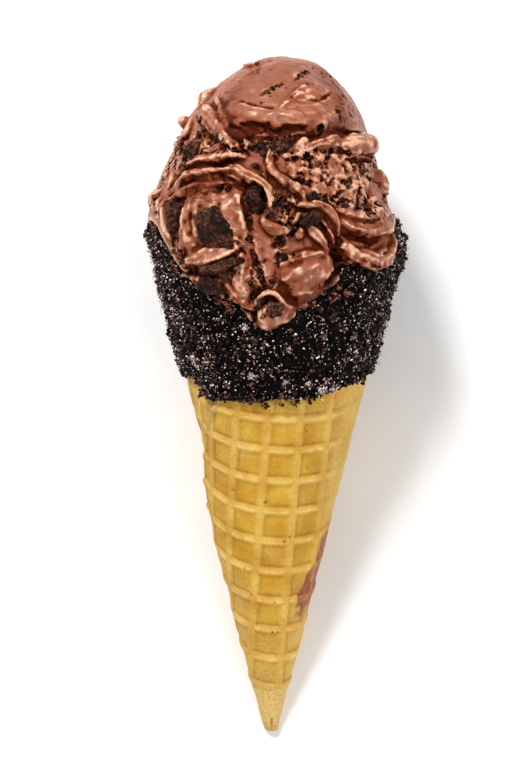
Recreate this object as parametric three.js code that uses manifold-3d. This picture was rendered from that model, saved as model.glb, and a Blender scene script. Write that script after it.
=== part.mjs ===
// A rolled waffle cone with a cookie-crumb coated rim, filled with chocolate ice cream
// and cookie chunks. It lies on its back, its rolled-up front facing up.
//
// Cone frame, used by every function below: x to the right, y along the axis from the
// cone's geometric apex towards the mouth, z towards the front. Azimuths are in degrees
// round the axis, 0 at the front and growing to the right. Slants are distances from the
// apex along the cone's surface, and heights stand square to that surface. All in mm.
import * as THREE from 'three';
import { mergeVertices } from 'three/addons/utils/BufferGeometryUtils.js';
import Module from 'manifold-3d';

const wasm = await Module();
wasm.setup();

// ---- Driving dimensions ----------------------------------------------------------------
const WAFER_DIAMETER = 200; // the flat round waffle before it is rolled
const HALF_ANGLE = 13.957; // of the rolled cone, degrees
const ROLL_START = 41.5; // from the front line to the wafer's diameter, degrees on the flat
const WAFER_THICKNESS = 1.7;
const LAYER_STEP = 1.4; // where one layer of the roll ends on the next
const TIP_Y = 8.6; // the folded tip is blunt and ends this far past the apex
const TIP_RADIUS = 2.9;
const TIP_SLANT = 13.5; // where the blunt tip has widened to the cone
const CAVITY_START = 22; // slant at which the cone's inside begins
const TUCK_DEPTH = 3.3; // the left wall stands in by this where the loose layer has ended
const TUCK_FROM = 76; // slants between which it comes in
const TUCK_TO = 112;
const PINCH_DEPTH = 8; // how far both sides of the mouth would curl in at PINCH_TO
const PINCH_FROM = 172;
const PINCH_TO = 196;

const GRID_PITCH = 10.7; // of the waffle iron's square pattern
const GRID_TURN = 4.37; // of the pattern against the front line, degrees on the flat
const GRID_ROW = 4.52; // the first row's distance from the apex
const GRID_COLUMN = 0.6; // the middle column's distance from the pattern's own middle line
const RIDGE_HEIGHT = 0.7;
const RIDGE_FOOT = 2.6; // a ridge's full width at the foot of its soft flanks
const PATTERN_FROM = 24; // the pattern's slants, from the smooth tip to under the coating
const PATTERN_TO = 127;
const SKIN = 0.6; // of the patterned outer skin, below its recesses

// Where the mouth's edge stands higher or, below 0, lower than a round wafer's would: the
// azimuth, the spread in degrees and the height.
const MOUTH_WAVES = [[-17, 20, 9], [-64, 20, 9.5], [105, 35, -7]];

const COAT_EDGE = 129.2; // slant of the coating's lower edge
const COAT_EDGE_WAVE = 1.2;
const COAT_EDGE_RISE_RIGHT = 5.8; // the edge runs this much higher on the right
const COAT_EDGE_RISE_LEFT = 4.8;
const COAT_THICKNESS = 1.9;
const COAT_INSIDE = 16; // how far the coating runs down inside the rim
const CRUMB_COUNT = 38;
const CRUMB_LARGEST = 4.2;
const CRUMB_SMALLEST = 2.6;

// Outline of the ice cream from the top of the upper scoop down to where it has sunk into
// the cone: radius, y and how far its middle lies to the right of the cone's axis.
const ICE_CREAM_OUTLINE = [
  [0, 234.3, 3.4], [13.4, 230.6, 4.1], [22.2, 222.8, 2.8], [28, 215, 1.8], [32, 205.5, 1.2],
  [36, 195.4, 0.2], [39.6, 184, -0.4], [40.3, 173, -0.3], [38.8, 161, 0], [36.5, 150, 0],
  [34, 138, 0],
];
const SCOOP_SPLIT_Y = 209.5; // the upper scoop sits on this plane
const SCOOP_SPLIT_SLOPE = -15; // degrees, down to the right
const GAP = 0.35; // between neighbouring pieces
const FLAT_DEPTH = 0.7; // of the worn flat spot under the coating's back
const REST_SLANT = 196; // slant of the middle of that flat spot

// ---- Numbers that follow ---------------------------------------------------------------
const { clamp, degToRad, euclideanModulo, radToDeg, lerp, smoothstep } = THREE.MathUtils;
const SIN_A = Math.sin(degToRad(HALF_ANGLE));
const COS_A = Math.cos(degToRad(HALF_ANGLE));
const NOTCH = (ROLL_START - 180 * SIN_A) / SIN_A; // azimuth where the rolled edges cross
const INNER_WALL = -0.5 * LAYER_STEP - RIDGE_HEIGHT - WAFER_THICKNESS;
const COAT_INNER_FACE = INNER_WALL - 2 * GAP;
const COAT_ROWS = [0.33, 0.66]; // along the covered wall, as parts of the way up it

const FINISH = {
  waffle: new THREE.MeshStandardMaterial({ color: '#c98f45', roughness: 0.6 }),
  coat: new THREE.MeshStandardMaterial({ color: '#1a100d', roughness: 0.85 }),
  iceCream: new THREE.MeshStandardMaterial({ color: '#a8694a', roughness: 0.45 }),
  cookie: new THREE.MeshStandardMaterial({ color: '#24140f', roughness: 0.9 }),
};

// ---- Solids ----------------------------------------------------------------------------
function seededRandom(seed) {
  let state = seed;
  return () => {
    state = (state * 1664525 + 1013904223) % 4294967296;
    return state / 4294967296;
  };
}

// A closed geometry as a solid: shared vertices merged, collapsed faces dropped and the
// faces turned outwards.
function solid(geometry) {
  geometry.deleteAttribute('normal');
  geometry.deleteAttribute('uv');
  const merged = mergeVertices(geometry, 1e-4);
  const corners = merged.getIndex().array;
  const faces = [];
  for (let i = 0; i < corners.length; i += 3) {
    const [a, b, c] = [corners[i], corners[i + 1], corners[i + 2]];
    if (a !== b && b !== c && c !== a) faces.push([a, b, c]);
  }
  const build = (triangles) => new wasm.Manifold(new wasm.Mesh({
    numProp: 3,
    vertProperties: Float32Array.from(merged.getAttribute('position').array),
    triVerts: Uint32Array.from(triangles.flat()),
  }));
  const body = build(faces);
  return body.volume() > 0 ? body : build(faces.map(([a, b, c]) => [a, c, b]));
}

function moveVertices(geometry, move) {
  const position = geometry.getAttribute('position');
  const vertex = new THREE.Vector3();
  for (let i = 0; i < position.count; i++) {
    vertex.fromBufferAttribute(position, i);
    const moved = move(vertex, i);
    position.setXYZ(i, moved.x, moved.y, moved.z);
  }
  return geometry;
}

// A body turned round the axis whose outline may change on the way: place(row, azimuth)
// gives each point. A closed outline returns to its first row, an open one ends on the axis.
function revolved(rows, columns, place, closed = false) {
  const stride = closed ? rows + 1 : rows;
  const outline = Array.from({ length: stride }, (_, row) => new THREE.Vector2(1, row));
  return solid(moveVertices(new THREE.LatheGeometry(outline, columns), (_, i) => {
    const column = Math.floor(i / stride) % columns;
    return place((i % stride) % rows, NOTCH + (360 * column) / columns);
  }));
}

function join(bodies) {
  return bodies.reduce((whole, body) => whole.add(body));
}

// The largest connected piece of a cut body; loose scraps and sealed bubbles go.
function mainPiece(body) {
  return body.decompose().reduce((best, piece) => (piece.volume() > best.volume() ? piece : best));
}

function geometryOf(body) {
  const { vertProperties, triVerts } = body.getMesh();
  const geometry = new THREE.BufferGeometry();
  geometry.setAttribute('position', new THREE.BufferAttribute(vertProperties, 3));
  geometry.setIndex(new THREE.BufferAttribute(triVerts, 1));
  return geometry;
}

function node(name, body, material) {
  const geometry = geometryOf(mainPiece(body));
  geometry.computeVertexNormals();
  const mesh = new THREE.Mesh(geometry, material);
  mesh.name = name;
  return mesh;
}

// ---- The rolled wafer ------------------------------------------------------------------
function polar(radius, azimuth, y) {
  const turn = degToRad(azimuth);
  return new THREE.Vector3(radius * Math.sin(turn), y, radius * Math.cos(turn));
}

// The roll isn't quite round: its left wall is tucked in, and the mouth's sides curl in.
function pressedIn(slant, azimuth) {
  const side = Math.sin(degToRad(azimuth));
  const tuck = side < 0 ? TUCK_DEPTH * clamp((slant - TUCK_FROM) / (TUCK_TO - TUCK_FROM), 0, 1) : 0;
  const pinch = PINCH_DEPTH * clamp((slant - PINCH_FROM) / (PINCH_TO - PINCH_FROM), 0, 1) ** 2;
  return (tuck + pinch) * side ** 2;
}

function conePoint(slant, azimuth, height) {
  const outwards = height - pressedIn(slant, azimuth);
  return polar(slant * SIN_A + outwards * COS_A, azimuth, slant * COS_A - outwards * SIN_A);
}

// Slant of the round wafer's edge. Azimuths from the notch to a full turn past it run
// along the mouth, and azimuths below the notch follow the outer layer's loose edge.
function waferEdge(azimuth) {
  return WAFER_DIAMETER * Math.cos(degToRad(ROLL_START - azimuth * SIN_A));
}

// The mouth's own edge, pressed uneven while the wafer was still warm.
function mouthEdge(azimuth) {
  return MOUTH_WAVES.reduce((edge, [middle, spread, height]) => {
    const away = euclideanModulo(azimuth - middle + 180, 360) - 180;
    return edge + height * Math.exp(-((away / spread) ** 2));
  }, waferEdge(azimuth));
}

// Each layer of the roll climbs onto the one before it by the height of one step a turn.
function layerRise(azimuth) {
  return LAYER_STEP * (0.5 - (azimuth - NOTCH) / 360);
}

function recess(azimuth) {
  return layerRise(azimuth) - RIDGE_HEIGHT;
}

// The roll without its pattern, up to just above the underside of the patterned skin. Its
// rows run where the roll bends, and along the coating as the coating's own rows do.
function rolledShell() {
  const rimRound = 0.6;
  return revolved(17, 36, (row, azimuth) => {
    const rim = mouthEdge(azimuth);
    const outer = recess(azimuth) - 0.75 * SKIN;
    const outside = (slant) => conePoint(slant, azimuth, outer);
    const inside = (slant) => conePoint(slant, azimuth, INNER_WALL);
    return [
      () => polar(0, azimuth, TIP_Y),
      () => polar(0.7 * TIP_RADIUS, azimuth, TIP_Y + 0.4),
      () => conePoint(TIP_SLANT, azimuth, recess(azimuth)),
      () => conePoint(PATTERN_FROM - 0.5, azimuth, recess(azimuth)),
      () => outside(PATTERN_FROM + 1),
      () => outside(TUCK_FROM),
      () => outside(TUCK_TO),
      ...COAT_ROWS.map((part) => () => outside(lerp(coatEdge(azimuth), rim, part))),
      () => outside(rim - rimRound),
      () => conePoint(rim, azimuth, (outer + INNER_WALL) / 2),
      () => inside(rim - rimRound),
      () => inside(rim - COAT_INSIDE),
      () => inside(TUCK_TO),
      () => inside(TUCK_FROM),
      () => inside(CAVITY_START),
      () => polar(0, azimuth, CAVITY_START * COS_A - 2),
    ][row]();
  });
}

// The outer layer past the notch: a slab of one step, cut off by the wafer's round edge.
function looseWrap() {
  const first = -168;
  const last = NOTCH + 4;
  return solid(moveVertices(new THREE.BoxGeometry(1, 1, 1, 18, 3, 1), ({ x, y, z }) => {
    const azimuth = lerp(first, last, x + 0.5);
    const edge = waferEdge(azimuth) - 0.2;
    const rows = [PATTERN_FROM, Math.min(TUCK_FROM, edge - 2), Math.min(TUCK_TO, edge - 1), edge];
    const slant = rows[Math.round((y + 0.5) * 3)];
    const buried = azimuth > NOTCH ? 0.3 : 0;
    const outer = recess(azimuth) - 0.75 * SKIN - buried;
    return conePoint(slant, azimuth, z > 0 ? outer : outer - LAYER_STEP - 0.3 + buried);
  }));
}

// A slight dish of the blank. It keeps every grid line of the blank through the cuts, where
// level faces would be merged, and is taken out again as the blank is rolled.
function dish(x, y) {
  return (x * x + y * y) / 2000;
}

// The patterned skin as it comes from the waffle iron: x across the rows, y across the
// columns and z the height over the recesses. Three grid lines make one square: the ridge's
// crest, its foot and the next ridge's foot.
function flatWaffle() {
  const cells = Math.ceil(PATTERN_TO / GRID_PITCH);
  const stops = [0, RIDGE_FOOT / 2, GRID_PITCH - RIDGE_FOOT / 2];
  const lineAt = (i) => Math.floor(i / stops.length) * GRID_PITCH + stops[i % stops.length];
  const rows = cells * stops.length;
  const columns = 2 * rows;
  const plate = new THREE.BoxGeometry(1, 1, 1, rows, columns, 1);
  return solid(moveVertices(plate, ({ x, y, z }) => {
    const i = Math.round((x + 0.5) * rows);
    const j = Math.round((y + 0.5) * columns);
    const crest = i % stops.length === 0 || j % stops.length === 0;
    const top = crest ? RIDGE_HEIGHT : 0;
    const row = GRID_ROW + lineAt(i);
    const column = GRID_COLUMN + lineAt(j) - cells * GRID_PITCH;
    return new THREE.Vector3(row, column, (z > 0 ? top : -SKIN) + dish(row, column));
  }));
}

// A round blank that passes through the flat waffle, its middle at a distance and direction
// from the apex.
function disc(radius, distance = 0, direction = 0) {
  const segments = Math.round(20 + radius / 2);
  const turn = degToRad(direction - GRID_TURN);
  const blank = new THREE.CylinderGeometry(radius, radius, 60, segments).rotateX(Math.PI / 2);
  return solid(blank.translate(distance * Math.cos(turn), distance * Math.sin(turn), 0));
}

// The flat waffle cut to what shows of it: inside its own round edge and outside the edge
// that the roll has laid over it one turn later, then rolled up.
function rolledPattern() {
  const radius = WAFER_DIAMETER / 2;
  const tuck = 1; // of the skin under the loose edge
  const cut = flatWaffle()
    .intersect(disc(radius, radius, ROLL_START))
    .subtract(disc(radius - tuck, radius, ROLL_START + 360 * SIN_A))
    .intersect(disc(PATTERN_TO))
    .subtract(disc(PATTERN_FROM));
  return solid(moveVertices(geometryOf(mainPiece(cut)), ({ x, y, z }) => {
    const azimuth = (radToDeg(Math.atan2(y, x)) + GRID_TURN) / SIN_A;
    return conePoint(Math.hypot(x, y), azimuth, recess(azimuth) + z - dish(x, y));
  }));
}

// ---- The dipped and crumbed rim --------------------------------------------------------
function coatEdge(azimuth) {
  const turn = degToRad(azimuth);
  const wave = COAT_EDGE_WAVE * (0.6 * Math.sin(5 * turn + 1) + 0.4 * Math.sin(11 * turn));
  const right = COAT_EDGE_RISE_RIGHT * smoothstep(Math.sin(turn), 0.2, 1);
  const left = COAT_EDGE_RISE_LEFT * smoothstep(-Math.sin(turn), 0.5, 1);
  return COAT_EDGE + wave + right + left;
}

// The coating bridges the step of the loose layer with a soft ramp.
function coatFloor(slant, azimuth) {
  const pastStep = slant - waferEdge(azimuth - 360);
  const bridged = azimuth > 180 ? LAYER_STEP * (1 - smoothstep(pastStep, 4, 12)) : 0;
  return recess(azimuth) + bridged + GAP;
}

function coatSwell(slant, azimuth) {
  const turn = degToRad(azimuth);
  return 0.3 * Math.sin(7 * turn + slant / 6) + 0.25 * Math.sin(13 * turn - slant / 4);
}

// The coating's outline as [slant, height] pairs: up its outside, over the rim, down its
// inside and back along the wafer. A grown outline is used to cut its neighbours clear.
function coatOutline(azimuth, grow = 0) {
  const rim = mouthEdge(azimuth);
  const edge = coatEdge(azimuth);
  const thickness = COAT_THICKNESS + grow;
  const outside = [0.12, 0.5, 0.88].map((part) => {
    const slant = lerp(edge, rim, part);
    return [slant, coatFloor(slant, azimuth) + thickness + coatSwell(slant, azimuth)];
  });
  const topHeight = coatFloor(rim, azimuth);
  const inside = COAT_INNER_FACE - 0.75 * thickness;
  const gapLine = COAT_ROWS.toReversed().map((part) => {
    const slant = lerp(edge, rim, part);
    return [slant, coatFloor(slant, azimuth)];
  });
  return [
    [edge - 0.2 - grow, coatFloor(edge, azimuth) + 0.4 * thickness],
    ...outside,
    [rim + 0.7 * thickness, topHeight + 0.6 * thickness],
    [rim + GAP + thickness, (topHeight + COAT_INNER_FACE) / 2],
    [rim + 0.4 * thickness, inside],
    [rim - 0.6 * COAT_INSIDE, inside],
    [rim - COAT_INSIDE - grow, COAT_INNER_FACE - 0.3 * thickness],
    [rim - COAT_INSIDE, COAT_INNER_FACE],
    [rim + GAP, COAT_INNER_FACE],
    [rim + GAP, topHeight],
    ...gapLine,
    [edge, coatFloor(edge, azimuth)],
  ];
}

function coatBody() {
  return revolved(15, 36, (row, azimuth) => {
    const [slant, height] = coatOutline(azimuth)[row];
    return conePoint(slant, azimuth, height);
  }, true);
}

// Cookie crumbs pressed into the coating, the largest first. Two steps that share no common
// measure spread them evenly round and along it, so that none crowd together.
function crumbs() {
  const random = seededRandom(7);
  const stepRound = 0.7548777;
  const stepAlong = 0.5698403;
  const grains = [];
  for (let i = 0; i < CRUMB_COUNT; i++) {
    const azimuth = NOTCH + 360 * ((i * stepRound) % 1);
    const size = lerp(CRUMB_LARGEST, CRUMB_SMALLEST, Math.sqrt(i / CRUMB_COUNT));
    const along = (i * stepAlong + 0.2) % 1;
    const slant = lerp(coatEdge(azimuth) + 0.3 * size, mouthEdge(azimuth) - 0.4 * size, along);
    const floor = coatFloor(slant, azimuth);
    const sunk = COAT_THICKNESS + coatSwell(slant, azimuth) - 0.1 * size;
    const centre = conePoint(slant, azimuth, floor + Math.max(sunk, 0.5 * size));
    const turn = new THREE.Euler(6.3 * random(), 6.3 * random(), 6.3 * random());
    const squash = new THREE.Vector3(1, 0.75 + 0.25 * random(), 0.6 + 0.3 * random());
    const grain = new THREE.IcosahedronGeometry(0.5 * size, 0);
    grains.push(solid(moveVertices(grain, (v) => v.multiply(squash).applyEuler(turn).add(centre))));
  }
  return join(grains);
}

// Everything that the wafer and its coating take up, grown by the gap: what is left inside
// and above it is free for the ice cream.
function wallEnvelope() {
  const clear = 2 * GAP;
  return revolved(12, 30, (row, azimuth) => {
    const rim = mouthEdge(azimuth);
    const inside = COAT_INNER_FACE - 0.75 * COAT_THICKNESS - clear;
    const top = coatOutline(azimuth, clear);
    const at = (pair) => conePoint(pair[0], azimuth, pair[1]);
    return [
      () => conePoint(CAVITY_START, azimuth, COAT_INNER_FACE),
      () => conePoint(CAVITY_START, azimuth, 6),
      () => conePoint(rim - 8, azimuth, 9),
      () => at(top[3]),
      () => at(top[4]),
      () => at(top[5]),
      () => at(top[6]),
      () => conePoint(rim - 0.6 * COAT_INSIDE, azimuth, inside),
      () => conePoint(rim - COAT_INSIDE - 1, azimuth, inside),
      () => conePoint(rim - COAT_INSIDE - 2, azimuth, COAT_INNER_FACE),
      () => conePoint(TUCK_TO, azimuth, COAT_INNER_FACE),
      () => conePoint(TUCK_FROM, azimuth, COAT_INNER_FACE),
    ][row]();
  }, true);
}

// ---- Ice cream -------------------------------------------------------------------------
const outlineCurve = new THREE.CatmullRomCurve3(
  ICE_CREAM_OUTLINE.map((row) => new THREE.Vector3(...row)),
);
const outlineSamples = outlineCurve.getSpacedPoints(120);

// The ring of the outline, its radius and middle, at a height y.
function ringAt(y) {
  const below = outlineSamples.findIndex((sample) => sample.y <= y);
  if (below <= 0) return outlineSamples.at(below < 0 ? -1 : 0);
  const [high, low] = [outlineSamples[below - 1], outlineSamples[below]];
  return high.clone().lerp(low, (high.y - y) / (high.y - low.y));
}

function onRing(radius, azimuth, y, middle) {
  return polar(radius, azimuth, y).add(new THREE.Vector3(middle, 0, 0));
}

// A place on the ice cream: azimuth, y and how far it stands out.
function onScoop([azimuth, y, lift]) {
  const ring = ringAt(y);
  return onRing(ring.x + lift, azimuth, y, ring.z);
}

// Soft folds left by the scoop: they slant round the body and fade over the smooth dome.
function scoopFold(azimuth, y) {
  const turn = degToRad(azimuth);
  const fade = 1 - smoothstep(y, 205, 214);
  return 0.25 * Math.sin(3 * turn + 1) + fade * (0.9 * Math.sin(y / 3.1 + 2 * Math.sin(turn + 0.6)));
}

function iceCreamBody() {
  const rows = 15;
  const plugEnd = CAVITY_START + 10;
  return revolved(rows + 3, 32, (row, azimuth) => {
    if (row === 0) return onRing(0, azimuth, ICE_CREAM_OUTLINE[0][1], ICE_CREAM_OUTLINE[0][2]);
    if (row === rows + 1) return conePoint(plugEnd, azimuth, COAT_INNER_FACE + 1);
    if (row === rows + 2) return polar(0, azimuth, plugEnd * COS_A);
    const { x, y, z } = outlineCurve.getPointAt(row / rows);
    return onRing(x + scoopFold(azimuth, y) * Math.min(1, x / 12), azimuth, y, z);
  });
}

// A rope of ice cream pulled out by the scoop: a round-ended bar bent along the surface
// through its places, wide along it and thick away from it.
function strand(places, width, thickness) {
  const curve = new THREE.CatmullRomCurve3(places.map(onScoop));
  const bend = 2;
  const sides = 6;
  const steps = Math.max(2, Math.round(curve.getLength() / 10));
  const geometry = new THREE.CapsuleGeometry(1, 2, bend, sides, steps);
  return solid(moveVertices(geometry, ({ x, y, z }) => {
    const part = clamp((y + 1) / 2, 0, 1);
    const overshoot = y - clamp(y, -1, 1);
    const centre = curve.getPointAt(part);
    const along = curve.getTangentAt(part);
    const outwards = new THREE.Vector3(centre.x, 0, centre.z).normalize();
    outwards.addScaledVector(along, -outwards.dot(along)).normalize();
    const across = new THREE.Vector3().crossVectors(along, outwards);
    return centre
      .addScaledVector(along, (overshoot * width) / 2)
      .addScaledVector(across, (x * width) / 2)
      .addScaledVector(outwards, (z * thickness) / 2);
  }));
}

// A rounded lump at one place, with its width round the axis, its height along it and its
// thickness away from it.
function lump(place, width, height, thickness) {
  const centre = onScoop(place);
  const turn = new THREE.Euler(0, degToRad(place[0]), 0);
  const size = new THREE.Vector3(width / 2, height / 2, thickness / 2);
  const ball = new THREE.SphereGeometry(1, 7, 5);
  return solid(moveVertices(ball, (v) => v.multiply(size).applyEuler(turn).add(centre)));
}

// Everything on one side of the sloping plane between the scoops.
function splitBlock(side) {
  const size = 500;
  const block = new THREE.BoxGeometry(size, size, size);
  block.translate(0, side * (size / 2 - GAP / 2), 0);
  block.rotateZ(degToRad(SCOOP_SPLIT_SLOPE));
  block.translate(0, SCOOP_SPLIT_Y, 0);
  return solid(block);
}

// Places are [azimuth, y, lift] and sizes are width, height or thickness, as above.
function upperScoop() {
  const lip = strand([[-24, 215.5, 0.4], [-8, 213.4, 1.2], [14, 213, 1.4], [34, 213.4, 0.6]], 4.6, 5);
  const sideRoll = strand([[36, 205.5, 1.2], [55, 205.2, 1.6], [76, 205, 0.4]], 6.5, 7);
  const leftRoll = strand([[-112, 226.5, -0.5], [-100, 217, 0.6]], 6, 6);
  const underLip = strand([[-22, 211, 2.5], [0, 209.6, 3], [22, 209.8, 3], [42, 210, 1.5]], 3.2, 7);
  return join([iceCreamBody(), lip, sideRoll, leftRoll]).subtract(underLip);
}

function lowerScoop() {
  const ropes = [
    strand([[-52, 194.5, 0.2], [-31, 197.4, 0.6], [-13, 195.3, 1], [-3, 192, 1.4], [2, 186.6, 1.6]], 6, 7),
    strand([[-3, 203.5, -0.4], [4, 197, 1], [12, 192.6, 1.6], [15.5, 189.4, 1.6]], 5, 6.5),
    strand([[-52, 198.8, 0], [-32, 202.2, 0.4], [-12, 200.6, 0]], 5.4, 7),
    strand([[-27, 205, 0.2], [-20, 212, 0.2]], 6.4, 6),
    strand([[-24, 192, 0], [-20, 186, 0.8], [-18, 177, 0.8]], 14, 9),
    strand([[-44, 168.8, 0.6], [-28, 172, 1.2], [-12, 177, 0.8]], 6.6, 8.5),
    strand([[-60, 195.5, -0.4], [-73, 191, 0], [-68, 185.5, 0.4]], 8, 8),
    strand([[-45, 191, 0], [-41, 181, 0.4], [-46, 172.5, 0.2]], 6, 7.5),
    strand([[-5, 184.4, 0], [1, 181.5, 1.2], [8, 178.2, 0.8]], 8, 8),
    strand([[17, 182, 0.4], [24, 178, 0.8], [31, 171.5, 0.6]], 9.4, 8),
    strand([[32, 177.6, 0.4], [50, 175.4, 1.6], [72, 178.4, 0.4]], 6, 9),
    strand([[34, 169.4, 0], [51, 166.4, 1.4], [74, 170.4, 0.6]], 7.6, 10),
  ];
  const lumps = [
    lump([12.4, 179.2, 0.8], 8.6, 8.6, 8),
    lump([15, 164.6, -0.4], 19, 19, 11),
    lump([1, 153.8, 2.4], 13.5, 9.6, 9),
    lump([-8, 160, -0.6], 15, 18, 9),
  ];
  const hollows = [
    strand([[-11, 187.5, 2], [-8, 181, 2.4], [-7, 171, 2.4]], 5, 8),
    lump([3, 173.4, 3], 6, 6, 10),
    lump([33, 162.5, 3], 8.6, 13.6, 15),
    strand([[34, 173, 3.4], [51, 170.6, 4], [71, 174, 3.4]], 3.6, 9),
    lump([-53, 203, 2], 7, 8, 9),
  ];
  return join([iceCreamBody(), ...ropes, ...lumps]).subtract(join(hollows));
}

// ---- Cookie chunks ---------------------------------------------------------------------
// A broken lump of dark cookie: width, height and thickness, tilt in the surface in degrees.
const CHUNKS = {
  chunk_front_left: { place: [-24.8, 179.6, 0.6], size: [12.4, 12.4, 7], tilt: 12 },
  chunk_far_left: { place: [-47.5, 183.6, 0.6], size: [5.2, 10.4, 6], tilt: 6 },
  chunk_low_left: { place: [-21.4, 168.9, 1.2], size: [12.4, 4.6, 7], tilt: 14 },
  chunk_rim_left: { place: [-26.5, 162.8, 1.8], size: [8.6, 5, 6.4], tilt: -8 },
  chunk_left_hollow: { place: [-54, 203, -1.4], size: [5.6, 7.6, 5.4], tilt: -24 },
  chunk_under_lip: { place: [0, 205.6, -0.6], size: [12, 4.2, 6], tilt: 8 },
  chunk_middle: { place: [-7.4, 189, -0.4], size: [5.2, 7.6, 6], tilt: -10 },
  chunk_bean: { place: [18, 183.2, 2.2], size: [6.2, 4.2, 4.6], tilt: 6 },
  chunk_tongue: { place: [2, 155.4, 3.6], size: [4.6, 4.4, 4.4], tilt: 20 },
};

function chunk({ place, size, tilt }, seed, grow = 0) {
  const random = seededRandom(seed);
  const half = new THREE.Vector3(...size).multiplyScalar(0.5).addScalar(grow);
  const turn = new THREE.Euler(0, degToRad(place[0]), degToRad(tilt), 'YXZ');
  const centre = onScoop(place);
  const jitter = new Map();
  const detail = size[0] > 9 ? 1 : 0;
  return solid(moveVertices(new THREE.IcosahedronGeometry(1, detail), (v) => {
    const key = v.toArray().map((value) => value.toFixed(3)).join();
    if (!jitter.has(key)) jitter.set(key, lerp(0.86, 1.08, random()));
    return v.multiplyScalar(jitter.get(key)).multiply(half).applyEuler(turn).add(centre);
  }));
}

// ---- Lying pose ------------------------------------------------------------------------
// The cone lies on the coating's back and on its tip.
const restHeight = coatFloor(REST_SLANT, 180) + COAT_THICKNESS - FLAT_DEPTH;
const tipSlant = 15;
const tipHeight = recess(180) - 0.2;
const lieAngle = degToRad(HALF_ANGLE) + Math.atan2(restHeight - tipHeight, REST_SLANT - tipSlant);

const cone = new THREE.Group();
cone.rotation.x = lieAngle;
cone.position.copy(conePoint(REST_SLANT, 180, restHeight).applyEuler(cone.rotation).negate());
cone.updateMatrix();

// All that would reach below the surface on which the cone lies.
function groundBlock() {
  const size = 500;
  const block = new THREE.BoxGeometry(size, size, size);
  block.translate(0, 0, -size / 2);
  block.applyMatrix4(cone.matrix.clone().invert());
  return solid(block);
}

// ---- Assembly --------------------------------------------------------------------------
const ground = groundBlock();
const walls = wallEnvelope();
const chunks = Object.entries(CHUNKS);
const sockets = join(chunks.map(([, shape], i) => chunk(shape, i + 1, GAP)));

const waffle = join([rolledShell(), looseWrap(), rolledPattern()]).subtract(ground);
const coat = coatBody().add(crumbs()).subtract(ground);
const upper = upperScoop().subtract(splitBlock(-1)).subtract(sockets);
const lower = lowerScoop().subtract(splitBlock(1)).subtract(walls).subtract(sockets);

cone.add(node('waffle_cone', waffle, FINISH.waffle));
cone.add(node('cookie_coat', coat, FINISH.coat));
cone.add(node('scoop_lower', lower, FINISH.iceCream));
cone.add(node('scoop_upper', upper, FINISH.iceCream));
chunks.forEach(([name, shape], i) => cone.add(node(name, chunk(shape, i + 1), FINISH.cookie)));

const part = new THREE.Group();
part.add(cone);
export default part;
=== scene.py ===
"""A waffle cone of chocolate cookie ice cream, lying on its back on a pale floor.

Shapes are worked out in millimetres in the cone's own frame, the one its CAD source uses:
x to the right, y along the axis from the cone's apex towards the mouth, z towards the
front. lie_down() turns that frame into the part's frame in metres. Azimuths run round the
axis in degrees, 0 at the front and growing to the right. Slants are distances from the apex
along the cone's surface and heights stand square to it.
"""

import itertools

import bmesh
import bpy
import numpy as np
from mathutils import Matrix, Vector


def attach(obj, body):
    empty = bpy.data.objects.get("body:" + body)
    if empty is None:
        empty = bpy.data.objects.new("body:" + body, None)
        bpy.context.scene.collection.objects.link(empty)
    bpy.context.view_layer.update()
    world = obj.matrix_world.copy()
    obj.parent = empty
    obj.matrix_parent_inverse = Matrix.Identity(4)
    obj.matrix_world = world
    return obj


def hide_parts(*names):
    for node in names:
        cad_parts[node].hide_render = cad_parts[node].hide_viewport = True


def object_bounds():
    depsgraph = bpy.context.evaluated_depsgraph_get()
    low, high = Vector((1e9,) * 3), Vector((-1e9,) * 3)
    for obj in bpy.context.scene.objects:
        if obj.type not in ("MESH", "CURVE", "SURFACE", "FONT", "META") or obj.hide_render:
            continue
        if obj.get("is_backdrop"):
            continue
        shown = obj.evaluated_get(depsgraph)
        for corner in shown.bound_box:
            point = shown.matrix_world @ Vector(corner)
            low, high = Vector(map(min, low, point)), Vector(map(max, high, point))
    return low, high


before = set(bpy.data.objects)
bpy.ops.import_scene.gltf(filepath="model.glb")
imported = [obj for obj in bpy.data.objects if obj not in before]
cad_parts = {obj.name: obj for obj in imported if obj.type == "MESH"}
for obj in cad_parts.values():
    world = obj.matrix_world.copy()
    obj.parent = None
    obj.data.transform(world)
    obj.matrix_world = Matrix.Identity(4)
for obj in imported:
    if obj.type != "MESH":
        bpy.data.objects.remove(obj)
CAD_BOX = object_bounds()
MM = 0.001

# ---- The cone, as in its CAD source ------------------------------------------------------
# The wafer is a round, rolled up from a point of its edge. ROLL_START is the angle on the
# flat wafer from its diameter there to the line that comes to lie at azimuth 0.
WAFER_DIAMETER = 200
HALF_ANGLE = np.radians(13.957)
ROLL_START = 41.5
WAFER_THICKNESS = 1.7
LAYER_STEP = 1.4
TIP_Y = 8.6
TIP_RADIUS = 2.9
TIP_SLANT = 13.5
CAVITY_START = 22
TUCK_DEPTH = 3.3
TUCK_FROM = 76
TUCK_TO = 112
PINCH_DEPTH = 8
PINCH_FROM = 172
PINCH_TO = 196
# The iron's square grid on the flat wafer: its pitch and turn, and where its lines pass.
GRID_PITCH = 10.7
GRID_TURN = 4.37
GRID_ROW = 4.52
GRID_COLUMN = 0.6
RIDGE_HEIGHT = 0.7
RIDGE_FOOT = 2.7
RIDGE_TOP = 1.3
# Where the mouth's edge stands higher or, below 0, lower than a round wafer's would:
# azimuth, spread in degrees and height.
MOUTH_WAVES = [(-17, 20, 9), (-64, 20, 9.5), (105, 35, -7)]
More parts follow.
